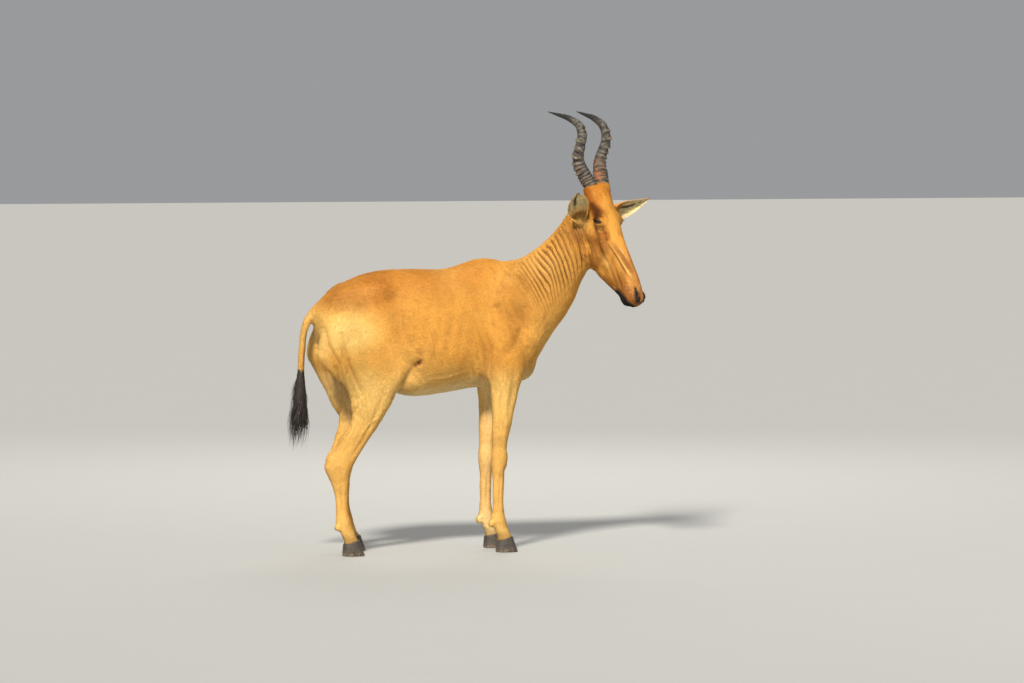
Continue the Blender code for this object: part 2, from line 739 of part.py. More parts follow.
def tail_tuft():
    """The black tuft: a short core and locks that bend and overlap."""
    chance = random.Random(7)
    middle = -0.5535
    # height, radius along, radius across
    stations = [
        (TUFT_TOP - CUT / 2, 0.0150, 0.0175),
        (0.745, 0.0190, 0.0210),
        (0.700, 0.0250, 0.0260),
        (0.655, 0.0260, 0.0270),
        (0.610, 0.0180, 0.0200),
        (0.580, 0.0060, 0.0070),
    ]
    rings = []
    for z, deep, wide in through(stations, 2):
        rings.append(ring((middle - 0.004 * (TUFT_TOP - z) / 0.1, 0, z), (1, 0, 0), (0, 1, 0), deep, deep, wide, 2.0, 10))
    core = skin_rings("tuft", rings)
    locks = []
    for i in range(TUFT_LOCKS):
        turn = i * 2.39996 + chance.uniform(-0.25, 0.25)
        out = np.array((math.cos(turn), math.sin(turn), 0.0))
        start = 0.735 - 0.105 * (i / TUFT_LOCKS) + chance.uniform(-0.01, 0.01)
        reach = chance.uniform(0.150, 0.200) + 0.02 * (i / TUFT_LOCKS)
        spread = chance.uniform(0.012, 0.026)
        sway = np.array((-0.016, 0.0, 0.0)) * chance.uniform(0.2, 1.0)
        base = np.array((middle, 0.0, start))
        points = [
            base + out * 0.008,
            base + out * (0.016 + spread * 0.5) + np.array((0, 0, -0.33 * reach)),
            base + out * (0.012 + spread) + np.array((0, 0, -0.66 * reach)) + sway,
            base + out * (0.006 + spread * 0.5) + np.array((0, 0, -reach)) + sway * 2.4,
        ]
        locks.append(lock(points, chance.uniform(0.010, 0.014), 0.0042, out))
    return largest(boolean(core, locks, "UNION"))


def lids_and_mouth(head):
    """Eye openings, nostrils, the line of the mouth and the pit below each eye, cut into the head."""
    balls = []
    cuts = []
    turn = head_turn()
    level = FACING * 0.97 - Vector((0, 0, 0.24))
    for side in (-1, 1):
        centre = in_head(EYE_AT[0], side * EYE_AT[1], EYE_AT[2])
        balls.append(ellipsoid("lid_ball", centre, (EYE_RADIUS + LID,) * 3, None, 20))
        cuts.append(ellipsoid("socket", centre, (EYE_RADIUS + 0.0004,) * 3, None, 20))
        cuts.append(eye_opening(centre, LEFT * side, level))
        way = Matrix.Rotation(math.radians(-8 * side), 4, OUT_OF_FACE)
        spot = in_head(0.522, side * 0.032, 0.005)
        cuts.append(ellipsoid("nostril", spot, (0.024, 0.0080, 0.0075), way @ turn, 12))
        pit = in_head(0.232, side * 0.062, -0.018)
        cuts.append(ellipsoid("pit", pit, (0.016, 0.010, 0.011), turn, 12))
    boolean(head, balls, "UNION")
    cuts.append(mouth_line())
    boolean(head, cuts, "DIFFERENCE")
    return largest(head)


def eye_opening(centre, outward, level):
    """A pointed almond that cuts through the lids from outside. level is the line from corner to corner."""
    level = (level - outward * level.dot(outward)).normalized()
    up = outward.cross(level)
    if up.z < 0:
        up = -up
    rings = []
    for far in (EYE_RADIUS * 0.42, EYE_RADIUS + 0.02):
        middle = centre + outward * far
        outline = []
        for i in range(20):
            t = 2 * math.pi * i / 20
            flat = math.sin(t) * abs(math.sin(t)) ** 0.35
            height = 0.0118 if flat > 0 else 0.0098
            outline.append(tuple(middle + level * (0.0235 * math.cos(t)) + up * (height * flat)))
        rings.append(outline)
    return skin_rings("opening", rings)


def mouth_line():
    """A thin curved blade that leaves the line between the lips, from corner to corner round the front."""
    rings = []
    for i in range(13):
        t = math.pi * (i / 12)
        left = 0.050 * math.cos(t)
        along = 0.446 + 0.122 * math.sin(t) ** 0.75
        out = -0.078 + 0.046 * math.sin(t) ** 1.1
        inner = 0.78
        near = in_head(0.446 + (along - 0.446) * inner - 0.01, left * inner, out + 0.0009)
        low = in_head(0.446 + (along - 0.446) * inner - 0.01, left * inner, out - 0.0009)
        far = in_head(along + 0.012, left * 1.3, out + 0.0013)
        last = in_head(along + 0.012, left * 1.3, out - 0.0013)
        rings.append([tuple(near), tuple(far), tuple(last), tuple(low)])
    return skin_rings("mouth", rings)


def head_cut():
    """Middle and direction of the plane between neck and head."""
    return Vector((0.664, -0.098, 1.348)), Vector((0.62, -0.42, 0.52)).normalized()


def near(points, centre, radius, soft):
    """1 within radius of the centre, falling to 0 over soft."""
    gap = np.linalg.norm(points - np.array(centre), axis=1) - radius
    return np.clip(1 - gap / soft, 0, 1)


def body_weight(points):
    """How much each point of the body is relaxed: trunk and neck most, legs and tail least."""
    weight = np.clip((points[:, 2] - 0.52) / 0.22, 0.06, 1.0)
    tail = np.clip((-0.485 - points[:, 0]) / 0.03, 0, 1) * np.clip((1.06 - points[:, 2]) / 0.05, 0, 1)
    return np.where(tail > 0, weight * (1 - 0.92 * tail), weight)


def head_weight(points):
    """How much each point of the head is relaxed."""
    return 0.55 + 0.45 * (1 - near(points, tuple(in_head(0.25, 0, 0)), 0.26, 0.12))


def flesh_body():
    """Trunk, neck, legs and bare tail as one skin, then cut into its parts."""
    pieces = [trunk(), neck(), tail_stalk(), skull()]
    pieces += [fore_leg(-1), fore_leg(1), hind_leg(-1), hind_leg(1)]
    pieces += muscles() + fetlocks() + head_masses()
    body = remeshed(joined("body", pieces), BODY_VOXEL)
    relaxed(body, 260, body_weight)
    thinned(body, BODY_TRIANGLES)
    centre, way = head_cut()
    cuts = [
        disc("cut", (0.432, 0, 1.045), (0.937, 0, 0.349), 0.34),
        disc("cut", centre, way, 0.20),
        disc("cut", (-0.5385, 0, 0.960), (-0.13, 0, -0.99), 0.034),
        disc("cut", (-0.551, 0, TUFT_TOP), (0, 0, 1), 0.05),
    ]
    named = {
        "torso": ((-0.02, 0.0, 0.96), "hide"),
        "neck": ((0.55, -0.02, 1.14), "hide"),
        "tail": ((-0.546, 0.0, 0.867), "pale"),
    }
    slope = (-math.sin(HOOF_TILT), 0, math.cos(HOOF_TILT))
    for name, (x, y) in FEET.items():
        cuts.append(disc("cut", (x, y, HOOF_TOP), slope, 0.06))
        if x > 0:
            cuts.append(disc("cut", (0.328, y, 0.697), (0, 0, 1), 0.10))
            cuts.append(disc("cut", (0.303, y, 0.402), (0, 0, 1), 0.06))
            named[f"leg_{name}_upper"] = ((0.33, y, 0.55), "hide")
            named[f"leg_{name}_lower"] = ((0.31, y, 0.23), "pale")
        else:
            ahead = 0.062 if y > 0 else 0.0
            cuts.append(disc("cut", (-0.280, y, 0.648), (0, 0, 1), 0.16))
            cuts.append(disc("cut", (-0.392 + ahead, y, 0.437), (0.62, 0, 0.78), 0.085))
            named[f"leg_{name}_upper"] = ((-0.31 + ahead / 2, y, 0.54), "hide")
            named[f"leg_{name}_lower"] = ((-0.41 + ahead, y, 0.25), "pale")
    boolean(body, cuts, "DIFFERENCE")
    return split(body, named), named


def flesh_head():
    """The head down to its plane with the neck, with its openings."""
    pieces = [neck(5), skull()] + head_masses()
    head = remeshed(joined("head", pieces), HEAD_VOXEL)
    relaxed(head, 130, head_weight)
    thinned(head, HEAD_TRIANGLES)
    centre, way = head_cut()
    cuts = [disc("back", centre - way * (0.15 - CUT / 2), way, 0.4, 0.3)]
    cuts.append(disc("top", POLL - DOWN_HEAD * 0.05, DOWN_HEAD, 0.12, 0.10))
    for side in (-1, 1):
        root, ear_way, _ = ear_frame(side)
        cuts.append(disc("ear_cut", root + ear_way * (0.03 - CUT), ear_way, 0.045, 0.06))
    boolean(head, cuts, "DIFFERENCE")
    largest(head)
    return lids_and_mouth(head)


def eye(side):
    """A ball that fills its socket."""
    centre = in_head(EYE_AT[0], side * EYE_AT[1], EYE_AT[2])
    return ellipsoid("eye_left" if side > 0 else "eye_right", centre, (EYE_RADIUS,) * 3, None, 16)


def finish(obj, colour, name=None):
    """Smooth shading, a colour, and the object's origin in its middle."""
    if name:
        obj.name = name
    mesh = obj.data
    mesh.materials.clear()
    mesh.materials.append(material(colour))
    points = np.array([v.co for v in mesh.vertices])
    middle = Vector((points.max(axis=0) + points.min(axis=0)) / 2)
    mesh.transform(Matrix.Translation(-middle))
    obj.location = obj.location + middle
    mesh.shade_smooth()
    mesh.set_sharp_from_angle(angle=math.radians(50))
    return obj


def centred(objects):
    """Moves all the parts so that the box round them stands on the origin, and returns the step."""
    low = np.full(3, np.inf)
    high = np.full(3, -np.inf)
    for obj in objects:
        for v in obj.data.vertices:
            at = np.array(obj.location + v.co)
            low = np.minimum(low, at)
            high = np.maximum(high, at)
    shift = Vector(((low[0] + high[0]) / 2, (low[1] + high[1]) / 2, low[2]))
    for obj in objects:
        obj.location = obj.location - shift
    return shift


def main():
    """Builds every part, and returns how far they were moved to stand on the origin."""
    for obj in list(bpy.data.objects):
        bpy.data.objects.remove(obj)
    made = []
    nodes, named = flesh_body()
    for name, obj in nodes.items():
        made.append(finish(obj, named[name][1], name))
    made.append(finish(flesh_head(), "face", "head"))
    for side, word in ((-1, "right"), (1, "left")):
        made.append(finish(ear(side), "ear", f"ear_{word}"))
        made.append(finish(horn(side), "horn", f"horn_{word}"))
        made.append(finish(eye(side), "eye", f"eye_{word}"))
    for name, (x, y) in FEET.items():
        for claw, obj in hoof(name, x, y).items():
            made.append(finish(obj, "hoof", claw))
    made.append(finish(tail_tuft(), "hair", "tail_tuft"))
    return centred(made)


if __name__ == "__main__":
    main()
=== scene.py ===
"""Looks of a life-size hartebeest: one skin with a short coat, ringed horns, ears, eyes, hooves and tail tuft."""

from __future__ import annotations

import json
import logging
import math
from dataclasses import dataclass, field
from enum import Enum
from typing import Optional, Sequence, Union

import bpy
import numpy as np
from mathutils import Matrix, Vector

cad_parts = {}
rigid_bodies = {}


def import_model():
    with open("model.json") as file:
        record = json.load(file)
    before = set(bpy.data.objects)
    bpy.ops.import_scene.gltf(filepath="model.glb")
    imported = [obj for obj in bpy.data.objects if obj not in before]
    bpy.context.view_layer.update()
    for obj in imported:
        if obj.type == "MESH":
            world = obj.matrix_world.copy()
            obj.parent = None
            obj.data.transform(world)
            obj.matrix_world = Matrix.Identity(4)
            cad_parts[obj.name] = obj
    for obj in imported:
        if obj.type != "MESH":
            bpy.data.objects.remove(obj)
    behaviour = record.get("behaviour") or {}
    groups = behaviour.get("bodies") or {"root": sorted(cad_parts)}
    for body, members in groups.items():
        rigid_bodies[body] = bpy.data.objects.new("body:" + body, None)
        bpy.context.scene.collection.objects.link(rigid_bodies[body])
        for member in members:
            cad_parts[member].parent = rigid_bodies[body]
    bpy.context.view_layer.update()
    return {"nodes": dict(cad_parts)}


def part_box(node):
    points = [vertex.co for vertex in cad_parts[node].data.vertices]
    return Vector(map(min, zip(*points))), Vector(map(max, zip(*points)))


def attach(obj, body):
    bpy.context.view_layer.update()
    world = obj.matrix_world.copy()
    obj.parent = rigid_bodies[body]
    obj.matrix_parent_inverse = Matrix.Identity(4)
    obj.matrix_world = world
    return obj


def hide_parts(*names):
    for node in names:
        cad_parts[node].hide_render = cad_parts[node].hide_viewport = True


LOG = logging.getLogger("hartebeest")
BODY = "root"
BAKE_MAP = "OFBake"
PATCH = 0.003  # side of a tuft's patch on the map
TUFT_SIDES = np.array([[0, 2, 1], [0, 3, 2], [1, 2, 3], [0, 1, 3]])
RELAX = (0.55, -0.40)  # shares of the way to the neighbours' middle, by turns

# The model's own frame, as its source has it: the head's place and turn, and the eyes and ears in it.
UP = Vector((0, 0, 1))
POLL = Vector((0.731, -0.161, 1.587))
HEAD_YAW = math.radians(-53.0)
HEAD_PITCH = math.radians(64.0)
FACING = Vector((math.cos(HEAD_YAW), math.sin(HEAD_YAW), 0.0))
LEFT = Vector((-FACING.y, FACING.x, 0.0))
DOWN_HEAD = FACING * math.cos(HEAD_PITCH) - UP * math.sin(HEAD_PITCH)
OUT_OF_FACE = FACING * math.sin(HEAD_PITCH) + UP * math.cos(HEAD_PITCH)
HEAD_CUT = ((0.664, -0.098, 1.348), (0.62, -0.42, 0.52))
EYE_AT = (0.160, 0.0635, -0.011)
EYE_RADIUS = 0.0215
EAR_LEFT_AT = (0.112, 0.074, -0.055)
EAR_RIGHT_AT = (0.112, -0.077, -0.096)
TAIL_X = -0.5535

LIMBS = [f"{end}_{side}" for end in ("fore", "hind") for side in ("right", "left")]
FLESH = ("torso", "neck", "head", "tail", *(f"leg_{limb}_{part}" for limb in LIMBS for part in ("upper", "lower")))
CLAWS = tuple(f"hoof_{limb}_{part}" for limb in LIMBS for part in ("inner", "outer"))

Array = np.ndarray
Colour = tuple[float, float, float]
Row = Sequence[float]
Rows = Sequence[Row]


class Side(Enum):
    """Which side of the animal a piece is on, as a sign along +Y or along the head's left."""

    RIGHT = -1
    LEFT = 1

    @property
    def word(self) -> str:
        """The side's name as the nodes spell it."""
        return self.name.lower()


def in_head(along: float, left: float, out: float) -> Vector:
    """A point of the head, from the poll towards the nose, to the head's left and out of the forehead."""
    return POLL + DOWN_HEAD * along + LEFT * left + OUT_OF_FACE * out


def head_place(points: Array) -> Array:
    """Columns along, left and out of points in the model's own frame."""
    return (points - np.array(POLL)) @ np.array([DOWN_HEAD, LEFT, OUT_OF_FACE]).T


def same_on_both(points: Array) -> Array:
    """Like head_place, with every point on the head's left."""
    along, left, out = head_place(points).T
    return np.stack([along, np.abs(left), out], axis=1)


def beyond_neck(points: Array) -> Array:
    """How far each point lies on the head's side of the cut between neck and head."""
    way = np.array(HEAD_CUT[1]) / np.linalg.norm(HEAD_CUT[1])
    return (points - np.array(HEAD_CUT[0])) @ way


def ease(value: Array, low: float, high: float) -> Array:
    """0 below low, 1 above high and smooth between, for an array of values."""
    t = np.clip((value - low) / (high - low), 0.0, 1.0)
    return t * t * (3 - 2 * t)


def eased(value: float, low: float, high: float) -> float:
    """The same for one value."""
    return float(ease(np.array([value]), low, high)[0])


def unit(vectors: Array) -> Array:
    """The last axis scaled to length one."""
    return vectors / np.maximum(np.linalg.norm(vectors, axis=-1, keepdims=True), 1e-12)


def blend(first: Array, second: Array, amount: Array) -> Array:
    """Two rows of colours mixed by an amount for each point."""
    amount = np.asarray(amount).reshape(-1, 1)
    return first * (1 - amount) + second * amount


def bump_at(points: Array, centre: Row, radii: Row) -> Array:
    """A soft bell of height 1 at centre, for each point, with a reach along each axis."""
    gap = (points - np.array(centre)) / np.array(radii)
    return np.exp(-np.sum(gap * gap, axis=1))


def line_distance(points: Array, path: Rows) -> tuple[Array, Array]:
    """How far each point is from a line of straight runs.

    Args:
        points: rows of two or three coordinates.
        path: the corners of the line.

    Returns:
        The distance, and the share of the line's runs at which it is nearest.
    """
    corners = np.array(path, float)
    best = np.full(len(points), 1e9)
    place = np.zeros(len(points))
    runs = len(corners) - 1
    for i in range(runs):
        start = corners[i]
        step = corners[i + 1] - start
        t = np.clip((points - start) @ step / (step @ step), 0, 1)
        gap = np.linalg.norm(points - start - t[:, None] * step, axis=1)
        nearer = gap < best
        best = np.where(nearer, gap, best)
        place = np.where(nearer, (i + t) / runs, place)
    return best, place


def grain(points: Array, scale: float, seed: int = 0) -> Array:
    """Smooth noise from -1 to 1.

    Args:
        points: rows of three coordinates.
        scale: cells to a metre.
        seed: which pattern.

    Returns:
        A value for each point.
    """
    at = points * scale + seed * 17.31
    cell = np.floor(at)
    f = at - cell
    f = f * f * (3 - 2 * f)
    total = np.zeros(len(points))
    for corner in range(8):
        step = np.array([corner & 1, (corner >> 1) & 1, (corner >> 2) & 1], float)
        key = (cell + step) @ np.array([127.1, 311.7, 74.7]) + seed * 3.7
        value = np.abs(np.sin(key) * 43758.5453) % 1.0
        weight = np.prod(np.where(step > 0, f, 1 - f), axis=1)
        total += value * weight
    return total * 2 - 1


def through(rows: Rows, steps: int) -> Array:
    """Rows on a smooth path through the given rows, so many to a span."""
    table = np.array(rows, float)
    ends = np.vstack([2 * table[0] - table[1], table, 2 * table[-1] - table[-2]])
    found = []
    for i in range(1, len(ends) - 2):
        a, b, c, d = ends[i - 1 : i + 3]
        for k in range(steps):
            t = k / steps
            square = (2 * a - 5 * b + 4 * c - d) * t * t
            cube = (3 * b - 3 * c + d - a) * t**3
            found.append(0.5 * (2 * b + (c - a) * t + square + cube))
    found.append(ends[-2])
    return np.array(found)


# Meshes


def mesh_object(name: str, points: Array, faces: Array) -> bpy.types.Object:
    """A new object in the scene, from points and from faces that all have as many corners."""
    points = np.asarray(points, np.float32)
    faces = np.asarray(faces, np.int32)
    mesh = bpy.data.meshes.new(name)
    mesh.vertices.add(len(points))
    mesh.vertices.foreach_set("co", points.reshape(-1))
    mesh.loops.add(faces.size)
    mesh.loops.foreach_set("vertex_index", faces.reshape(-1))
    mesh.polygons.add(len(faces))
    mesh.polygons.foreach_set("loop_start", np.arange(0, faces.size, faces.shape[1], dtype=np.int32))
    mesh.update(calc_edges=True)
    mesh.validate()
    mesh.shade_smooth()
    obj = bpy.data.objects.new(name, mesh)
    bpy.context.scene.collection.objects.link(obj)
    return obj


def tube(rings: Sequence[Array]) -> tuple[Array, Array]:
    """Points and triangles of a closed tube over rings of equal length."""
    stack = np.array(rings, float)
    count, around = stack.shape[:2]
    points = np.vstack([stack.reshape(-1, 3), stack[0].mean(axis=0), stack[-1].mean(axis=0)])
    i, j = np.meshgrid(np.arange(count - 1), np.arange(around), indexing="ij")
    a = (i * around + j).reshape(-1)
    b = (i * around + (j + 1) % around).reshape(-1)
    sides = np.concatenate([np.stack([a, b, b + around], 1), np.stack([a, b + around, a + around], 1)])
    ring = np.arange(around)
    turned = (ring + 1) % around
    first = np.stack([np.full(around, count * around), turned, ring], 1)
    last = (count - 1) * around
    final = np.stack([np.full(around, count * around + 1), last + ring, last + turned], 1)
    return points, np.concatenate([sides, first, final])


def oval(centre: Array, first: Array, second: Array, wide: float, deep: float, around: int) -> Array:
    """Points of an oval, with half its width along the first direction and half its depth along the second."""
    turn = np.linspace(0, 2 * math.pi, around, endpoint=False)
    return centre + np.outer(np.cos(turn) * wide, first) + np.outer(np.sin(turn) * deep, second)


def merged(parts: Sequence[tuple[Array, Array]]) -> tuple[Array, Array]:
    """Points and faces of several meshes as one."""
    starts = np.cumsum([0] + [len(points) for points, _ in parts])
    faces = [np.asarray(sides) + start for (_, sides), start in zip(parts, starts)]
    return np.vstack([points for points, _ in parts]), np.vstack(faces)


def read_rows(items: bpy.types.bpy_prop_collection, key: str, width: int, kind: type = np.float32) -> Array:
    """One value of every item of a mesh, as rows of a width."""
    found = np.empty(len(items) * width, kind)
    items.foreach_get(key, found)
    return found.reshape(-1, width)


def read_points(mesh: bpy.types.Mesh) -> Array:
    """The points of a mesh."""
    return read_rows(mesh.vertices, "co", 3).astype(float)


def read_normals(mesh: bpy.types.Mesh) -> Array:
    """The directions that the points of a mesh face."""
    return read_rows(mesh.vertex_normals, "vector", 3).astype(float)


def read_triangles(mesh: bpy.types.Mesh) -> tuple[Array, Array]:
    """The triangles of a mesh, as point numbers and as corner numbers."""
    mesh.calc_loop_triangles()
    return tuple(read_rows(mesh.loop_triangles, key, 3, np.int32) for key in ("vertices", "loops"))


def read_map(mesh: bpy.types.Mesh) -> Array:
    """The place of each corner on the mesh's map for baking."""
    return read_rows(mesh.uv_layers[BAKE_MAP].data, "uv", 2)


def write_map(mesh: bpy.types.Mesh, places: Array) -> None:
    """Gives the mesh a map for baking, with a place for each corner."""
    layer = mesh.uv_layers.new(name=BAKE_MAP)
    layer.data.foreach_set("uv", places.astype(np.float32).reshape(-1))


def write_points(mesh: bpy.types.Mesh, points: Array) -> None:
    """Moves the points of a mesh."""
    mesh.vertices.foreach_set("co", np.asarray(points, np.float32).reshape(-1))
    mesh.update()


def areas(points: Array, faces: Array) -> Array:
    """The area of each triangle."""
    a, b, c = (points[faces[:, k]] for k in range(3))
    return np.linalg.norm(np.cross(b - a, c - a), axis=1) / 2


def swollen(mesh: bpy.types.Mesh, by: float = 0.0) -> tuple[Array, Array]:
    """The mesh's points welded and moved out a little, so that neighbours overlap, and its triangles."""
    faces, _ = read_triangles(mesh)
    points = read_points(mesh)
    _, first, index = np.unique(np.round(points, 6), axis=0, return_index=True, return_inverse=True)
    points = points[first]
    faces = index.reshape(-1)[faces]
    whole = (faces[:, 0] != faces[:, 1]) & (faces[:, 1] != faces[:, 2]) & (faces[:, 0] != faces[:, 2])
    faces = faces[whole]
    turned = np.cross(points[faces[:, 1]] - points[faces[:, 0]], points[faces[:, 2]] - points[faces[:, 0]])
    total = np.zeros_like(points)
    for k in range(3):
        for axis in range(3):
            total[:, axis] += np.bincount(faces[:, k], turned[:, axis], len(points))
    return points + unit(total) * by, faces


def relaxed(mesh: bpy.types.Mesh, points: Array, rounds: int, weight: Array) -> Array:
    """Moves each point to and fro towards the middle of its neighbours, which keeps the volume.

    Args:
        mesh: the mesh, for its edges.
        points: its points.
        rounds: how many steps.
        weight: 0 to 1 for each point.

    Returns:
        The moved points.
    """
    edges = read_rows(mesh.edges, "vertices", 2, np.int32)
    ends = np.concatenate([edges[:, 0], edges[:, 1]])
    others = np.concatenate([edges[:, 1], edges[:, 0]])
    valence = np.maximum(np.bincount(ends, minlength=len(points)), 1)[:, None]
    for turn in range(rounds):
        total = np.stack([np.bincount(ends, points[others, k], len(points)) for k in range(3)], axis=1)
        step = total / valence - points
        points = points + RELAX[turn % 2] * weight[:, None] * step
    return points


def modified(obj: bpy.types.Object, kind: str, **settings: object) -> bpy.types.Object:
    """The object with one modifier turned into mesh."""
    step = obj.modifiers.new(kind, kind)
    for key, value in settings.items():
        setattr(step, key, value)
    graph = bpy.context.evaluated_depsgraph_get()
    made = bpy.data.meshes.new_from_object(obj.evaluated_get(graph))
    old = obj.data
    obj.modifiers.clear()
    obj.data = made
    bpy.data.meshes.remove(old)
    return obj


def remeshed(obj: bpy.types.Object, voxel: float) -> bpy.types.Object:
    """The outer surface of all that the mesh holds, in even squares."""
    return modified(obj, "REMESH", mode="VOXEL", voxel_size=voxel)


def thinned(obj: bpy.types.Object, triangles: int) -> bpy.types.Object:
    """The mesh with about this many triangles."""
    count = sum(len(p.vertices) - 2 for p in obj.data.polygons)
    if count <= triangles:
        return obj
    return modified(obj, "DECIMATE", ratio=triangles / count, use_collapse_triangulate=True)


def paint(mesh: bpy.types.Mesh, colours: Array) -> None:
    """Writes a colour for each point of a mesh, which the materials read."""
    layer = mesh.color_attributes.new("coat", "FLOAT_COLOR", "POINT")
    full = np.ones((len(mesh.vertices), 4), np.float32)
    full[:, :3] = colours
    layer.data.foreach_set("color", full.reshape(-1))


def unwrapped(obj: bpy.types.Object) -> Array:
    """Unwraps the object's own shape for baking, and gives the place of each corner on the map."""
    bpy.ops.object.select_all(action="DESELECT")
    obj.select_set(True)
    bpy.context.view_layer.objects.active = obj
    obj.data.uv_layers.new(name=BAKE_MAP)
    bpy.ops.object.mode_set(mode="EDIT")
    bpy.ops.mesh.select_all(action="SELECT")
    bpy.ops.uv.smart_project(angle_limit=math.radians(70), island_margin=0.002)
    bpy.ops.object.mode_set(mode="OBJECT")
    return read_map(obj.data)


def wear(obj: bpy.types.Object, material: bpy.types.Material, slot: str, *nodes: str) -> None:
    """Gives a piece its finish and its body, and lets it stand for its nodes."""
    obj.data.materials.clear()
    obj.data.materials.append(material)
    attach(obj, BODY)
    if nodes:
        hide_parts(*nodes)


@dataclass
class Roots:
    """Places spread over a mesh, where tufts grow."""

    at: Array
    facing: Array
    spot: Array

    @classmethod
    def spread(cls, mesh: bpy.types.Mesh, count: int, weight: Array, chance: np.random.Generator) -> "Roots":
        """Picks places at random on the triangles of an unwrapped mesh.

        Args:
            mesh: the mesh.
            count: how many places.
            weight: how likely each triangle is.
            chance: the source of the choices.

        Returns:
            The places, with the directions they face and their spots on the map.
        """
        points, normals, flat = read_points(mesh), read_normals(mesh), read_map(mesh)
        faces, corners = read_triangles(mesh)
        chosen = chance.choice(len(faces), count, p=weight / weight.sum())
        shares = chance.dirichlet((1, 1, 1), count)
        at = np.einsum("ij,ijk->ik", shares, points[faces[chosen]])
        facing = unit(np.einsum("ij,ijk->ik", shares, normals[faces[chosen]]))
        return cls(at, facing, np.einsum("ij,ijk->ik", shares, flat[corners[chosen]]))


def tuft_object(name: str, corners: Array, lean: Array, colours: Array, spots: Array) -> bpy.types.Object:
    """Thin closed tufts of four triangles as one piece.

    Args:
        name: the piece's name.
        corners: the left, right, top and tip point of each tuft.
        lean: the direction in which each of these is lit.
        colours: the colour of each of these.
        spots: the place of each root on the map of what it grows on.

    Returns:
        The piece, with each tuft a small patch on its map.
    """
    faces = (TUFT_SIDES[None] + (np.arange(len(corners)) * 4)[:, None, None]).reshape(-1, 3)
    obj = mesh_object(name, corners.reshape(-1, 3), faces)
    paint(obj.data, np.clip(colours.reshape(-1, 3), 0, 1))
    obj.data.normals_split_custom_set_from_vertices(unit(lean).reshape(-1, 3))
    half = PATCH / 2
    patch = np.array([[-half, -half], [half, -half], [0.0, 0.0], [0.0, half]])
    write_map(obj.data, (spots[:, None] + patch[None])[:, TUFT_SIDES, :])
    return obj


# Shader maths


class Socket:
    """A node socket whose operators add Math nodes."""

    def __init__(self, tree: bpy.types.NodeTree, link: bpy.types.NodeSocket) -> None:
        """Keeps the tree and the socket."""
        self.tree = tree
        self.link = link

    def maths(self, operation: str, *values: Union["Socket", float]) -> "Socket":
        """A Math node on this socket and the values."""
        return node(self.tree, "ShaderNodeMath", {"operation": operation}, dict(enumerate((self, *values))))

    def __add__(self, other: Union["Socket", float]) -> "Socket":
        """Sum."""
        return self.maths("ADD", other)

    __radd__ = __add__

    def __mul__(self, other: Union["Socket", float]) -> "Socket":
        """Product."""
        return self.maths("MULTIPLY", other)

    __rmul__ = __mul__

    def __sub__(self, other: Union["Socket", float]) -> "Socket":
        """Difference."""
        return self.maths("SUBTRACT", other)

    def __rsub__(self, other: float) -> "Socket":
        """Difference, with the number first."""
        return (self * -1.0) + other

    def between(self, low: float, high: float, start: float = 0.0, end: float = 1.0) -> "Socket":
        """The value from low to high spread over start to end, held at both ends."""
        inputs = {"Value": self, "From Min": low, "From Max": high, "To Min": start, "To Max": end}
        return node(self.tree, "ShaderNodeMapRange", {"interpolation_type": "SMOOTHSTEP"}, inputs)


Value = Union[Socket, float, Sequence[float]]


def node(tree: bpy.types.NodeTree, kind: str, settings: dict, inputs: dict, output: Union[int, str] = 0) -> Socket:
    """Adds one node.

    Args:
        tree: the material's tree.
        kind: the node's type.
        settings: its own settings.
        inputs: values or links of its sockets, by name or number.
        output: which output to give back.

    Returns:
        The output, wrapped.
    """
    made = tree.nodes.new(kind)
    for key, value in settings.items():
        setattr(made, key, value)
    for key, value in inputs.items():
        if isinstance(value, Socket):
            tree.links.new(value.link, made.inputs[key])
        else:
            made.inputs[key].default_value = value
    return Socket(tree, made.outputs[output])


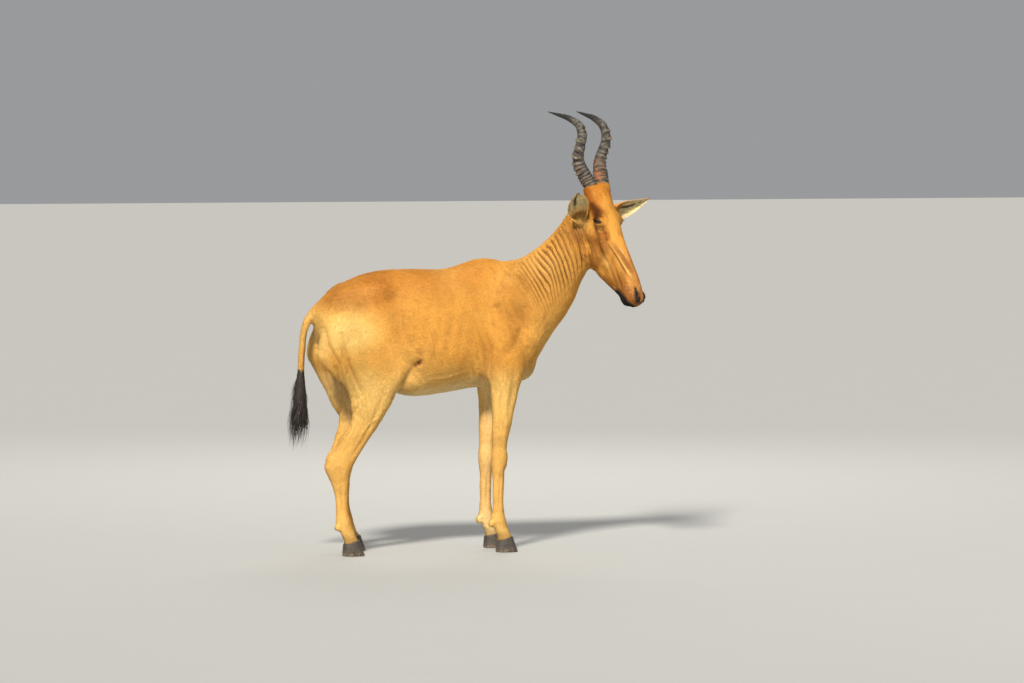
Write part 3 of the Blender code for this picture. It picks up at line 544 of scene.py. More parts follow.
class Paint:
    """One material under way: its tree, and short ways to its usual nodes."""

    def __init__(self, name: str) -> None:
        """Starts a material."""
        self.material = bpy.data.materials.new(name)
        self.material.use_nodes = True
        self.tree = self.material.node_tree
        self.shader = self.tree.nodes["Principled BSDF"]
        self.place = node(self.tree, "ShaderNodeTexCoord", {}, {}, "Object")

    def noise(self, scale: float, detail: float = 4.0, rough: float = 0.55, at: Optional[Socket] = None) -> Socket:
        """Noise from 0 to 1 at a scale in cells to a metre."""
        inputs = {"Vector": at or self.place, "Scale": scale, "Detail": detail, "Roughness": rough}
        return node(self.tree, "ShaderNodeTexNoise", {}, inputs)

    def squeezed(self, scale: Row) -> Socket:
        """The place with each axis scaled, for streaks."""
        return node(self.tree, "ShaderNodeMapping", {}, {"Vector": self.place, "Scale": scale})

    def mix(self, share: Value, first: Value, second: Value, blend_type: str = "MIX") -> Socket:
        """Two colours mixed by a share."""
        first, second = (c if isinstance(c, Socket) else (*c, 1.0) for c in (first, second))
        settings = {"data_type": "RGBA", "blend_type": blend_type}
        return node(self.tree, "ShaderNodeMix", settings, {0: share, 6: first, 7: second}, 2)

    def stored(self) -> Socket:
        """The colour that the mesh stores for each point."""
        return node(self.tree, "ShaderNodeAttribute", {"attribute_name": "coat"}, {}, "Color")

    def shaded(self, base: Socket, shade: Socket) -> Socket:
        """A colour times a shade of grey."""
        grey = node(self.tree, "ShaderNodeCombineColor", {}, {0: shade, 1: shade, 2: shade})
        return self.mix(1.0, base, grey, "MULTIPLY")

    def bump(self, height: Socket, distance: float) -> None:
        """Feeds the shader's normal from a height."""
        made = node(self.tree, "ShaderNodeBump", {}, {"Height": height, "Distance": distance, "Strength": 1.0})
        self.tree.links.new(made.link, self.shader.inputs["Normal"])

    def feed(self, **sockets: Value) -> None:
        """Sets or links the shader's sockets, with underscores for the blanks of their names."""
        for key, value in sockets.items():
            target = self.shader.inputs[key.replace("_", " ")]
            if isinstance(value, Socket):
                self.tree.links.new(value.link, target)
            else:
                target.default_value = value


@dataclass(frozen=True)
class CoatFinish:
    """Short hair: the stored markings, with fine streaks and a soft sheen."""

    name: str
    roughness: float = 0.62
    streak: float = 0.16
    grain: float = 0.0006
    sheen: float = 0.015

    def make(self) -> bpy.types.Material:
        """The finish as a material."""
        look = Paint(self.name)
        broad = look.noise(9.0)
        fine = look.noise(230.0, 3.0, 0.6)
        lines = look.noise(1.0, 3.0, 0.6, look.squeezed((160.0, 420.0, 160.0)))
        shade = broad.between(0.3, 0.7, 1.0 - self.streak * 0.55, 1.0 + self.streak * 0.45)
        shade = shade * fine.between(0.3, 0.7, 1.0 - self.streak, 1.0 + self.streak * 0.6)
        look.feed(Base_Color=look.shaded(look.stored(), shade))
        look.feed(Roughness=fine.between(0.3, 0.7, self.roughness - 0.08, self.roughness + 0.1))
        look.feed(Sheen_Weight=self.sheen, Sheen_Roughness=0.4, Specular_IOR_Level=0.15)
        look.bump(lines * 0.6 + fine * 0.4, self.grain)
        return look.material


@dataclass(frozen=True)
class HornFinish:
    """Dark ringed horn: tan on the crests of the rings, partly wear and partly painted highlight, painted shade
    between them, black at the tips, some red earth near the head.
    """

    name: str = "horn_finish"

    def make(self) -> bpy.types.Material:
        """The finish as a material."""
        look = Paint(self.name)
        fine = look.noise(420.0, 5.0, 0.65)
        blotch = look.noise(55.0, 4.0, 0.6)
        shade = fine.between(0.25, 0.75, 0.62, 1.34) * blotch.between(0.3, 0.7, 0.75, 1.25)
        look.feed(Base_Color=look.shaded(look.stored(), shade))
        look.feed(Roughness=blotch.between(0.3, 0.7, 0.42, 0.70), Specular_IOR_Level=0.36)
        look.bump(fine * 0.7 + look.noise(1400.0, 2.0) * 0.3, 0.0011)
        return look.material


@dataclass(frozen=True)
class HoofFinish:
    """Dark hoof with level growth lines and dust near the ground."""

    name: str = "hoof_finish"
    dark: Colour = (0.030, 0.024, 0.020)
    worn: Colour = (0.085, 0.066, 0.050)
    earth: Colour = (0.21, 0.145, 0.085)

    def make(self) -> bpy.types.Material:
        """The finish as a material."""
        look = Paint(self.name)
        lines = look.noise(1.0, 4.0, 0.6, look.squeezed((30.0, 30.0, 620.0)))
        dust = look.noise(70.0, 4.0)
        height = node(look.tree, "ShaderNodeSeparateXYZ", {}, {0: look.place}, 2)
        low = height.between(0.0, 0.03, 1.0, 0.0) * dust.between(0.35, 0.65)
        claw = look.mix(lines.between(0.3, 0.7), self.dark, self.worn)
        look.feed(Base_Color=look.mix(low * 0.7, claw, self.earth))
        look.feed(Roughness=dust.between(0.3, 0.7, 0.34, 0.62))
        look.bump(lines, 0.0009)
        return look.material


@dataclass(frozen=True)
class EyeFinish:
    """A wet dark eye under dry lids, all painted on the ball's points; only the lids are red enough to be dry."""

    name: str = "eye_finish"
    lid_from: float = 0.10
    lid_to: float = 0.28

    def make(self) -> bpy.types.Material:
        """The finish as a material."""
        look = Paint(self.name)
        streaks = look.noise(900.0, 3.0)
        base = look.stored()
        lid = node(look.tree, "ShaderNodeSeparateColor", {}, {0: base}, 0)
        look.feed(Base_Color=look.shaded(base, streaks.between(0.3, 0.7, 0.7, 1.3)))
        look.feed(Roughness=lid.between(self.lid_from, self.lid_to, 0.06, 0.55))
        look.feed(Coat_Weight=lid.between(self.lid_from, self.lid_to, 0.35, 0.0))
        look.feed(Coat_Roughness=0.02, Specular_IOR_Level=0.32)
        return look.material


@dataclass(frozen=True)
class HairFinish:
    """Long black hair of the tail, brownish where the light catches it."""

    name: str = "tail_hair"
    dark: Colour = (0.010, 0.008, 0.007)
    light: Colour = (0.050, 0.034, 0.024)

    def make(self) -> bpy.types.Material:
        """The finish as a material."""
        look = Paint(self.name)
        strands = look.noise(1.0, 3.0, 0.6, look.squeezed((520.0, 520.0, 30.0)))
        look.feed(Base_Color=look.mix(strands.between(0.35, 0.75), self.dark, self.light))
        look.feed(Roughness=strands.between(0.3, 0.7, 0.34, 0.55), Specular_IOR_Level=0.4)
        look.bump(strands, 0.0008)
        return look.material


@dataclass(frozen=True)
class FloorFinish:
    """A plain pale studio floor."""

    name: str = "studio_floor"
    colour: Colour = (0.46, 0.46, 0.445)

    def make(self) -> bpy.types.Material:
        """The finish as a material."""
        look = Paint(self.name)
        look.feed(Base_Color=look.mix(look.noise(3.0, 3.0), self.colour, tuple(c * 0.97 for c in self.colour)))
        look.feed(Roughness=0.85)
        return look.material


# The coat's markings and its lie


@dataclass
class Layers:
    """Colours laid over each other at the same points."""

    points: Array
    result: Array

    def lay(self, colour: Colour, share: Array) -> None:
        """Mixes a colour in by a share for each point."""
        self.result = blend(self.result, np.array(colour), np.clip(share, 0, 1))

    def spot(self, colour: Colour, centre: Row, radii: Row, share: Union[Array, float]) -> None:
        """Mixes a colour in as a soft spot."""
        self.lay(colour, bump_at(self.points, centre, radii) * share)


@dataclass(frozen=True)
class Markings:
    """Where the coat is tawny, red, pale or black, with painted shade in its folds and hollows and painted
    highlights in a few places. Points are in the model's own frame.
    """

    tawny: Colour = (0.66, 0.300, 0.050)
    back: Colour = (0.45, 0.165, 0.024)
    pale: Colour = (0.82, 0.52, 0.155)
    cream: Colour = (0.84, 0.62, 0.29)
    face: Colour = (0.60, 0.245, 0.032)
    red: Colour = (0.36, 0.105, 0.010)
    cheek: Colour = (0.25, 0.088, 0.014)
    brow: Colour = (0.078, 0.020, 0.003)
    nose: Colour = (0.27, 0.095, 0.028)
    black: Colour = (0.016, 0.013, 0.012)
    # Painted shade laid into the folds and grooves
    crease_shade: Colour = (0.15, 0.050, 0.012)
    olive: Colour = (0.50, 0.285, 0.060)

    def colours(self, points: Array, folds: Optional[Array] = None) -> Array:
        """The colour at each point.

        Args:
            points: rows in the model's own frame.
            folds: how deep in a fold each point lies, 0 to 1, if wanted; it sets the painted shade in the folds.

        Returns:
            Rows of linear red, green and blue.
        """
        coat = Layers(points, np.tile(np.array(self.tawny), (len(points), 1)))
        wander = grain(points, 7.0, 1) * 0.5 + grain(points, 17.0, 2) * 0.3
        body = 1 - ease(beyond_neck(points) + 0.02 * wander, -0.03, 0.03)
        self.mark_body(coat, body, wander)
        on_head = Layers(same_on_both(points), coat.result)
        self.mark_skull(on_head, points, 1 - body)
        self.mark_muzzle(on_head, points, 1 - body, wander)
        x, _, z = points.T
        on_head.lay(self.black, ease(x * -1, 0.535, 0.55) * ease(-z, -0.80, -0.775) * ease(z, 0.6, 0.61))
        # Painted shade in the folds and grooves
        if folds is not None:
            on_head.lay(self.crease_shade, folds * 0.88)
        return on_head.result

    def mark_body(self, coat: Layers, body: Array, wander: Array) -> None:
        """The red back and saddle, the pale rump and belly, and the legs; the pale over the haunch is partly a
        painted highlight.

        Args:
            coat: the colours so far.
            body: 1 on the body's side of the neck's upper end.
            wander: slow noise that frays the edges.
        """
        points = coat.points
        x, y, z = points.T
        height = 1.232 - z + 0.05 * wander
        coat.lay(
            self.back,
            ease(-height, -0.20, 0.0) * ease(x, -0.47, -0.30) * ease(-x, -0.42, -0.15) * 0.50 * body,
        )
        saddle = ease(z + 0.035 * wander, 1.035, 1.115) * ease(x + 0.02 * wander, -0.60, -0.50)
        coat.lay(self.back, saddle * ease(-x + 0.03 * wander, 0.125, 0.20) * 0.78)
        coat.lay(
            self.back,
            ease(z + 0.04 * wander, 1.10, 1.20) * ease(-x, -0.30, 0.0) * ease(x, -0.30, -0.10) * 0.35,
        )
        coat.spot(self.back, (0.47, -0.02, 1.20), (0.13, 0.6, 0.13), 0.45 * body)
        # The first pale spot lies over the top of the haunch: partly pale hair and partly a painted highlight
        # where the sun falls.
        for colour, centre, radii, gain, fray, share in (
            (self.pale, (-0.37, 0.0, 0.965), (0.115, 0.6, 0.075), 1.6, 0.15, 0.9),
            (self.pale, (-0.50, 0.0, 0.93), (0.06, 0.6, 0.14), 1.3, 0.1, 0.7),
            (self.olive, (-0.33, 0.0, 0.76), (0.13, 0.6, 0.10), 1.5, 0.3, 0.62),
        ):
            coat.lay(colour, (bump_at(points, centre, radii) * gain + wander * fray) * share)
        coat.lay(self.pale, ease(-z + 0.05 * wander, -0.86, -0.70) * 0.75 * body)
        coat.lay(self.cream, ease(-np.abs(y), -0.115, -0.075) * ease(-z, -0.84, -0.70) * body * 0.8)
        coat.lay(self.tawny, ease(-z, -0.66, -0.50) * ease(z, 0.10, 0.2) * 0.35)
        coat.spot(self.pale, (-0.10, 0.0, 0.80), (0.12, 0.5, 0.10), 0.4)
        shins = ease(-z, -0.45, -0.36) * ease(z, 0.09, 0.13) * ease(x - np.where(x > 0, 0.305, -0.40), 0.0, 0.03)
        coat.lay(self.back, shins * 0.35)
        coat.lay(self.brow, ease(-z, -0.105, -0.075) * 0.45)
        coat.spot(self.pale, (0.51, -0.10, 1.24), (0.12, 0.4, 0.14), 0.30)
        coat.spot(self.pale, (0.52, 0.0, 0.90), (0.12, 0.2, 0.18), 0.35)
        specks = ease(grain(points * (1, 1, 0.55), 70.0, 5) + 0.4 * grain(points, 25.0, 6), 0.35, 0.85)
        coat.spot(self.cheek, (0.37, 0, 1.02), (0.13, 0.5, 0.13), specks * 0.75)
        coat.spot(self.back, (0.40, 0, 1.00), (0.07, 0.5, 0.12), 0.35)

    def mark_skull(self, coat: Layers, points: Array, head: Array) -> None:
        """The forehead, the dark temple and the mottled cheek; the temple and the cheek are partly painted shade.

        Args:
            coat: the colours so far, with points along, out and to one side of the head.
            points: the same points in the model's own frame.
            head: 1 on the head.
        """
        along, left, out = coat.points.T
        coat.lay(self.face, head * ease(-along, -0.20, 0.0) * ease(out, -0.12, -0.04) * 0.8)
        coat.spot(self.back, (0.055, 0.05, -0.035), (0.10, 0.035, 0.035), head * 0.45)
        streaks = grain(points * (1.0, 1.0, 0.3), 55.0, 18) + 0.5 * grain(points, 22.0, 19)
        coat.lay(self.red, head * ease(-along, -0.15, -0.05) * ease(streaks, -0.05, 0.35) * 0.48)
        mottle = grain(points * (1.0, 1.0, 0.6), 42.0, 27) + 0.6 * grain(points, 95.0, 28)
        coat.lay(self.cheek, head * ease(along, 0.08, 0.16) * ease(mottle, 0.05, 0.60) * 0.34)
        # The dark red temple and the dark hollow before the ear: partly dark hair and partly painted shade under
        # the pedicel.
        flank = np.stack([along, out], axis=1) + 0.005 * grain(points, 45.0, 15)[:, None]
        temple, _ = line_distance(flank, ((-0.04, -0.030), (0.03, -0.022), (0.09, -0.012), (0.13, -0.006)))
        hidden = head * ease(left, 0.022, 0.045)
        coat.lay(self.red, hidden * ease(-temple, -0.040, -0.012) * 0.80)
        hollow, _ = line_distance(flank, ((0.085, -0.018), (0.110, -0.012), (0.140, 0.000)))
        coat.lay(self.brow, hidden * ease(-hollow, -0.025, -0.006) * 0.88)
        # The mottled side of the face: brown patches, darkened partly as painted shade.
        side = ease(along, 0.10, 0.17) * ease(-along, -0.42, -0.33) * ease(-out, 0.0, 0.04)
        patches = grain(points, 21.0, 8) + grain(points, 60.0, 9) * 0.55
        coat.lay(self.cheek, head * side * ease(patches, -0.85, 0.45) * 0.84)

    def mark_muzzle(self, coat: Layers, points: Array, head: Array, wander: Array) -> None:
        """The ridge of the nose, the surroundings of the eye, the lips and the nostrils, with painted highlights
        on the nose and muzzle, painted light at the ear's base and painted shade round the eye.

        Args:
            coat: the colours so far, with points along, out and to one side of the head.
            points: the same points in the model's own frame.
            head: 1 on the head.
            wander: slow noise that frays the edges.
        """
        along, left, out = coat.points.T
        ridge = ease(out, -0.006, 0.014) * ease(along, 0.20, 0.26)
        coat.lay(self.nose, head * ridge * ease(along, 0.20, 0.42) * (0.45 + 0.2 * wander))
        coat.lay(self.cheek, head * ease(along, 0.35, 0.44) * ease(-out, -0.006, 0.016) * 0.82)
        coat.lay(self.nose, head * ease(along, 0.42, 0.52) * ease(out, -0.045, -0.020) * 0.60)
        # Pale specks on the muzzle: painted glints
        muzzle_glints = ease(grain(points, 130.0, 25) + 0.5 * grain(points, 60.0, 26), 0.30, 0.75)
        coat.lay(self.cream, head * ease(along, 0.41, 0.45) * ease(-along, -0.52, -0.48) * muzzle_glints * 0.30)
        coat.spot(self.cheek, (0.255, 0.05, -0.078), (0.055, 0.10, 0.030), head * 0.55)
        coat.spot(self.pale, (0.331, 0.05, -0.067), (0.032, 0.10, 0.017), head * 0.45)
        # Pale hair at the front of the ear's base, partly painted light where the ear casts its shadow.
        coat.spot(self.pale, (0.125, 0.075, -0.090), (0.040, 0.04, 0.030), head * 0.70)
        # Dark patch above and behind the eye and a dark ring round it, heaviest above: partly dark hair and partly
        # painted shade under the brow.
        dark = bump_at(coat.points, (0.126, 0.066, -0.010), (0.030, 0.034, 0.026))
        dark = np.clip(dark * 1.6 - 0.22 + wander * 0.2, 0, 1)
        coat.lay(self.brow, head * dark * ease(0.168 - along, 0.0, 0.02) * 0.92)
        coat.spot(self.pale, (0.188, 0.06, -0.022), (0.016, 0.10, 0.012), head * 0.50)
        rim = np.linalg.norm(coat.points - np.array(EYE_AT), axis=1)
        above = ease(EYE_AT[0] - along, -0.006, 0.010)
        coat.lay(self.brow, head * ease(-rim, -0.0295, -0.0240) * (0.12 + 0.62 * above))
        gland = bump_at(coat.points, (0.222, 0.052, -0.014), (0.036, 0.02, 0.015))
        coat.lay(self.red, head * np.clip(gland * 1.7 - 0.35 + 0.45 * wander, 0, 1) * 0.70)
        tear = ((0.186, 0.062, -0.006), (0.215, 0.054, -0.010), (0.248, 0.048, -0.016))
        streak = 0.005 * grain(points, 110.0, 16) - line_distance(coat.points, tear)[0]
        coat.lay(self.brow, head * ease(streak, -0.0070, -0.0005) * 0.72)
        lips = np.interp(along, (0.440, 0.460, 0.496, 0.560), (-0.080, -0.0675, -0.0475, -0.028))
        wisps = 0.004 * grain(points, 90.0, 14)
        coat.lay(self.black, head * ease(lips - out + wisps, -0.002, 0.003) * ease(along, 0.446, 0.468))
        # Across the nose ridge: a red-brown band, a pale line that is a painted highlight along the ridge, and
        # painted glints near its front edge.
        rise = out - np.interp(along, (0.284, 0.338, 0.443), (-0.013, -0.001, 0.0165))
        span = head * ease(along, 0.26, 0.31) * ease(-along, -0.455, -0.41) * ease(left, 0.008, 0.018)
        coat.lay(self.cheek, span * ease(rise, 0.003, 0.008) * ease(-rise, -0.023, -0.015) * 0.62)
        coat.lay(self.pale, span * ease(-np.abs(rise + 0.001), -0.0050, -0.0015) * 0.62)
        glints = ease(rise, 0.015, 0.020) * ease(-rise, -0.028, -0.022) * ease(grain(points, 170.0, 17), 0.0, 0.6)
        coat.lay(self.cream, head * span * glints * 0.55)
        nostril, place = line_distance(coat.points[:, [0, 2]], ((0.488, 0.010), (0.525, 0.006), (0.556, 0.001)))
        nostril = nostril + wisps * 0.3 + 0.0050 * ease(-place, -0.45, 0.0)
        coat.lay(self.black, head * ease(-nostril, -0.0105, -0.0065) * ease(left, 0.006, 0.014))
        coat.lay(self.black, head * ease(along + wisps, 0.545, 0.556) * ease(out, -0.020, -0.012) * 0.92)


def lie_of_coat(points: Array) -> Array:
    """Which way the hair lies at each point, as unit directions before it is laid along the skin."""
    x, _, z = points.T
    along_body = np.tile((-1.0, 0.0, -0.35), (len(x), 1))
    up_head = -np.array(DOWN_HEAD) - np.array(OUT_OF_FACE) * 0.35
    belly = ease(-np.abs(x + 0.02), -0.22, -0.12) * ease(z, 0.66, 0.67)
    way = blend(along_body, np.array([-0.35, 0.0, -1.0]), ease(-x, 0.25, 0.45))
    way = blend(way, np.array([-0.05, 0.0, -1.0]), ease(-z, -0.80, -0.66) * (1 - belly))
    way = blend(way, np.array([0.12, 0.0, -1.0]), ease(x, 0.36, 0.50) * ease(z, 0.80, 1.0))
    return unit(blend(way, up_head, ease(beyond_neck(points), -0.05, 0.05)))


# Lines seen from the side, each with its half width, its depth and how dark its painted shade is

GROOVES = (
    (((-0.475, 0.985), (-0.467, 0.914), (-0.424, 0.840), (-0.410, 0.780), (-0.382, 0.700)), 0.0115, 0.0075, 0.42),
    (((-0.410, 0.960), (-0.392, 0.862), (-0.358, 0.780), (-0.324, 0.700)), 0.0125, 0.0072, 0.40),
    (((-0.170, 1.160), (-0.150, 1.050), (-0.135, 0.950), (-0.095, 0.880)), 0.030, 0.0042, 0.22),
    (((-0.065, 0.86), (-0.085, 0.80), (-0.125, 0.735), (-0.165, 0.68)), 0.020, 0.0065, 0.20),
    (((-0.050, 0.840), (-0.058, 0.828), (-0.072, 0.820)), 0.0095, 0.0095, 1.3),
    (((0.232, 0.960), (0.254, 0.893), (0.251, 0.810), (0.249, 0.735)), 0.0145, 0.0078, 0.42),
    (((0.330, 1.150), (0.365, 1.060), (0.395, 0.980)), 0.026, 0.0036, 0.10),
    (((0.43, 1.08), (0.415, 0.98), (0.375, 0.90), (0.325, 0.86)), 0.020, 0.0038, 0.12),
    (((0.375, 0.80), (0.355, 0.70), (0.335, 0.60)), 0.014, 0.0030, 0.12),
    (((0.305, 0.72), (0.300, 0.62), (0.298, 0.52)), 0.009, 0.0022, 0.10),
    (((-0.345, 0.64), (-0.375, 0.56), (-0.420, 0.48), (-0.435, 0.44)), 0.011, 0.0060, 0.30),
    (((-0.225, 0.70), (-0.265, 0.60), (-0.315, 0.50), (-0.365, 0.43)), 0.010, 0.0022, 0.10),
    (((0.303, 0.34), (0.300, 0.26), (0.297, 0.18)), 0.0055, 0.0022, 0.12),
    (((-0.412, 0.33), (-0.405, 0.26), (-0.400, 0.18)), 0.0055, 0.0022, 0.12),
)
VEINS = (
    (((-0.21, 0.66), (-0.245, 0.60), (-0.285, 0.575), (-0.32, 0.53)), 0.005, -0.0024, 0.0),
    (((0.34, 0.74), (0.325, 0.66), (0.33, 0.58), (0.318, 0.48)), 0.005, -0.0018, 0.0),
    (((0.18, 0.80), (0.08, 0.765), (-0.02, 0.755)), 0.007, -0.0012, 0.0),
)
# The same on the head, along it and out of it
DENTS = (
    (((0.200, 0.000), (0.232, -0.006), (0.262, -0.012)), 0.0075, 0.0042, 0.35),
    (((0.262, -0.026), (0.323, -0.0126), (0.430, -0.001)), 0.0052, 0.0036, 0.55),
    (((0.285, -0.010), (0.338, -0.001), (0.452, 0.0155)), 0.0085, -0.0034, 0.0),
    (((0.300, 0.008), (0.370, 0.017), (0.450, 0.024)), 0.0060, 0.0016, 0.20),
    (((0.375, -0.036), (0.405, -0.043), (0.447, -0.044), (0.466, -0.052)), 0.0062, 0.0036, 0.60),
    (((0.340, -0.062), (0.380, -0.066), (0.430, -0.068)), 0.0085, 0.0030, 0.35),
    (((0.20, -0.040), (0.28, -0.050), (0.35, -0.056)), 0.012, -0.0030, 0.0),
    (((0.24, -0.072), (0.29, -0.084), (0.34, -0.090)), 0.012, 0.0030, 0.15),
    (((0.15, -0.100), (0.20, -0.125), (0.27, -0.130)), 0.012, 0.0026, 0.15),
    (((0.165, -0.046), (0.188, -0.052), (0.214, -0.046)), 0.0075, 0.0030, 0.30),
    (((0.225, -0.060), (0.262, -0.072), (0.315, -0.070), (0.350, -0.052)), 0.0140, 0.0026, 0.16),
    (((0.262, -0.098), (0.310, -0.104), (0.360, -0.092)), 0.0130, 0.0026, 0.12),
    (((0.446, -0.077), (0.470, -0.062), (0.50, -0.047), (0.560, -0.028)), 0.0030, 0.0036, 0.8),
    (((0.118, 0.012), (0.130, 0.014), (0.146, 0.012)), 0.0042, 0.0022, 0.35),
    (((0.182, -0.024), (0.192, -0.008), (0.192, 0.006)), 0.0042, 0.0024, 0.40),
    (((0.192, -0.032), (0.204, -0.016), (0.206, 0.000)), 0.0042, 0.0017, 0.25),
    (((0.100, -0.030), (0.112, -0.012), (0.126, 0.000)), 0.0060, 0.0018, 0.2),
    (((0.492, 0.010), (0.525, 0.007), (0.553, 0.003)), 0.0060, 0.0044, 0.0),
)


@dataclass
class Relief:
    """Height to add to a smooth form, and how deep in a fold each point lies, which sets the painted shade there.
    """

    height: Array
    folds: Array

    def press(self, amount: Array, deep: float, dark: float) -> None:
        """Presses a form in, by an amount from 0 to 1 for each point, with painted shade in it by its darkness."""
        self.height = self.height - amount * deep
        self.folds = np.maximum(self.folds, amount * dark)

    def trace(self, flat: Array, lines: Sequence, where: Array, gain: tuple, ends: tuple) -> None:
        """Presses a set of lines in.

        Args:
            flat: the points in two coordinates.
            lines: each line's path, half width, depth and the darkness of its painted shade; a depth below 0 makes
                a ridge.
            where: 1 where the lines show.
            gain: factors for all depths and darknesses.
            ends: the share of a line at which it has run out, and how bluntly it does.
        """
        for path, wide, deep, dark in lines:
            gap, place = line_distance(flat, path)
            taper = np.sin(np.clip(place, ends[0], 1 - ends[0]) * math.pi) ** ends[1]
            self.press(np.exp(-((gap / wide) ** 2)) * where * taper, gain[0] * deep, gain[1] * dark)


@dataclass
class Skin:
    """One skin over all the flesh, with folds, grooves and veins, painted shade in the folds and grooves, and its
    markings.
    """

    shift: Array
    voxel: float = 0.0030
    triangles: int = 186000
    coat_depth: float = 0.0016
    relax: int = 14
    markings: Markings = field(default_factory=Markings)

    def build(self, nodes: dict[str, bpy.types.Object]) -> bpy.types.Object:
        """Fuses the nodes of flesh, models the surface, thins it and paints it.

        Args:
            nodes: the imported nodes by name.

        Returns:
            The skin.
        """
        obj = mesh_object("skin", *merged([swollen(nodes[name].data, 0.0006) for name in FLESH]))
        remeshed(obj, self.voxel)
        mesh = obj.data
        points = read_points(mesh) + self.shift
        points = relaxed(mesh, points, self.relax, self.softness(points))
        write_points(mesh, points)
        height, _ = self.relief(points)
        points = points + read_normals(mesh) * (height - self.inset(points))[:, None]
        write_points(mesh, points - self.shift)
        thinned(obj, self.triangles)
        mesh = obj.data
        points = read_points(mesh) + self.shift
        paint(mesh, self.markings.colours(points, self.relief(points)[1]))
        mesh.shade_smooth()
        self.obj = obj
        return obj

    def softness(self, points: Array) -> Array:
        """How much the first relaxing smooths each point: less on the nose and round the eyes."""
        place = same_on_both(points)
        weight = np.where((place[:, 0] > 0.44) & (place[:, 1] < 0.08), 0.5, 1.0)
        return np.where(np.linalg.norm(place - np.array(EYE_AT), axis=1) < 0.034, 0.25, weight)

    def inset(self, points: Array) -> Array:
        """How far the skin lies inside the solids: the depth of the coat."""
        face = ease(beyond_neck(points), 0.0, 0.10)
        low = ease(-points[:, 2], -0.45, -0.3)
        return self.coat_depth * (1 - 0.65 * face) * (1 - 0.5 * low)

    def relief(self, points: Array) -> tuple[Array, Array]:
        """Height added to the smooth form, and how deep in a fold each point lies, which sets the painted shade
        there.
        """
        x, y, z = points.T
        along, left, out = same_on_both(points).T
        on_head = ease(beyond_neck(points), 0.0, 0.02)
        form = Relief(np.zeros(len(points)), np.zeros(len(points)))
        self.fold_neck(form, points)
        flank = points[:, [0, 2]]
        form.trace(flank, GROOVES, ease(np.abs(y), 0.045, 0.075), (1.5, 1.0), (0.02, 0.4))
        form.trace(flank, VEINS, ease(np.abs(y), 0.06, 0.09), (1.0, 1.0), (0.02, 0.5))
        face = np.stack([along, out], axis=1)
        form.trace(face, DENTS, on_head * ease(left, 0.010, 0.024), (1.45, 1.35), (0.03, 0.4))

        # The rough hairy pedicel under the horns, the soft unevenness of flesh, and the ribs
        lumps = grain(points, 30.0, 23) * 0.0018 + grain(points, 75.0, 24) * 0.0009
        form.height += lumps * on_head * ease(-along, -0.13, -0.04)
        calm = 1 - 0.8 * on_head
        form.height += (grain(points, 13.0, 21) * 0.0016 + grain(points, 34.0, 22) * 0.0006) * calm
        ribs = np.cos(2 * math.pi * (x - 0.25 * (z - 0.9)) / 0.052)
        form.height += ribs * bump_at(points, (0.04, 0, 0.93), (0.17, 1, 0.13)) * 0.0009
        return form.height, np.clip(form.folds, 0, 1)

    def fold_neck(self, form: Relief, points: Array) -> None:
        """Folds the neck, closest together behind the jaw and slanting like the shoulder further back, with
        painted shade in the folds.
        """
        x, y, z = points.T
        along, left, out = same_on_both(points).T
        turn = 0.30 + 0.35 * ease(-x, -0.60, -0.42)
        across = x + turn * (z - 1.22)
        warp = grain(points * (1, 1, 0.35), 16.0, 11) * 0.010 + grain(points * (1, 1, 0.5), 40.0, 12) * 0.0032

        def waves(place: Array, pitch: float, sharpness: float, phase: float = 0.0) -> Array:
            """Folds of height 1 at a pitch."""
            return (0.5 + 0.5 * np.cos(2 * math.pi * place / pitch + phase)) ** sharpness

        sharp = waves(across + warp, 0.0205, 3.2)
        fine = waves(across + warp * 1.3, 0.0098, 2, 1.0)
        past = beyond_neck(points)
        floor = 0.96 + 0.75 * np.clip(across - 0.42, 0, 1)
        on_side = ease(np.abs(y - self.neck_middle(x)), 0.018, 0.05)
        region = ease(across, 0.345, 0.440) * ease(z - floor, 0.0, 0.15) * ease(-past, -0.045, -0.005) * on_side
        amount = region * np.clip(0.85 + 0.55 * grain(points * (1, 1, 0.25), 30.0, 13), 0.2, 1.3)
        form.height -= amount * (sharp * 0.0064 + fine * 0.0011)
        form.folds = np.maximum(form.folds, amount * (sharp * 0.95 + fine * 0.18))
        jaw = ease(past, -0.01, 0.02) * ease(-past, -0.095, -0.05)
        jaw = jaw * ease(-out, 0.075, 0.105) * ease(along, 0.02, 0.08)
        jaw = jaw * ease(-along, -0.30, -0.24) * ease(left, 0.02, 0.04)
        form.press(jaw * waves(across + warp * 0.6, 0.0115, 2.2), 0.0036, 0.68)

    @staticmethod
    def neck_middle(x: Array) -> Array:
        """How far to the side the neck's middle lies, as it turns to the right."""
        return np.interp(x, (0.40, 0.49, 0.58, 0.64, 0.70), (0.0, -0.012, -0.040, -0.078, -0.130))

    def dress(self, finish: CoatFinish) -> None:
        """Gives the skin its map and its finish, and lets it stand for the nodes of flesh."""
        unwrapped(self.obj)
        wear(self.obj, finish.make(), "hide", *FLESH)


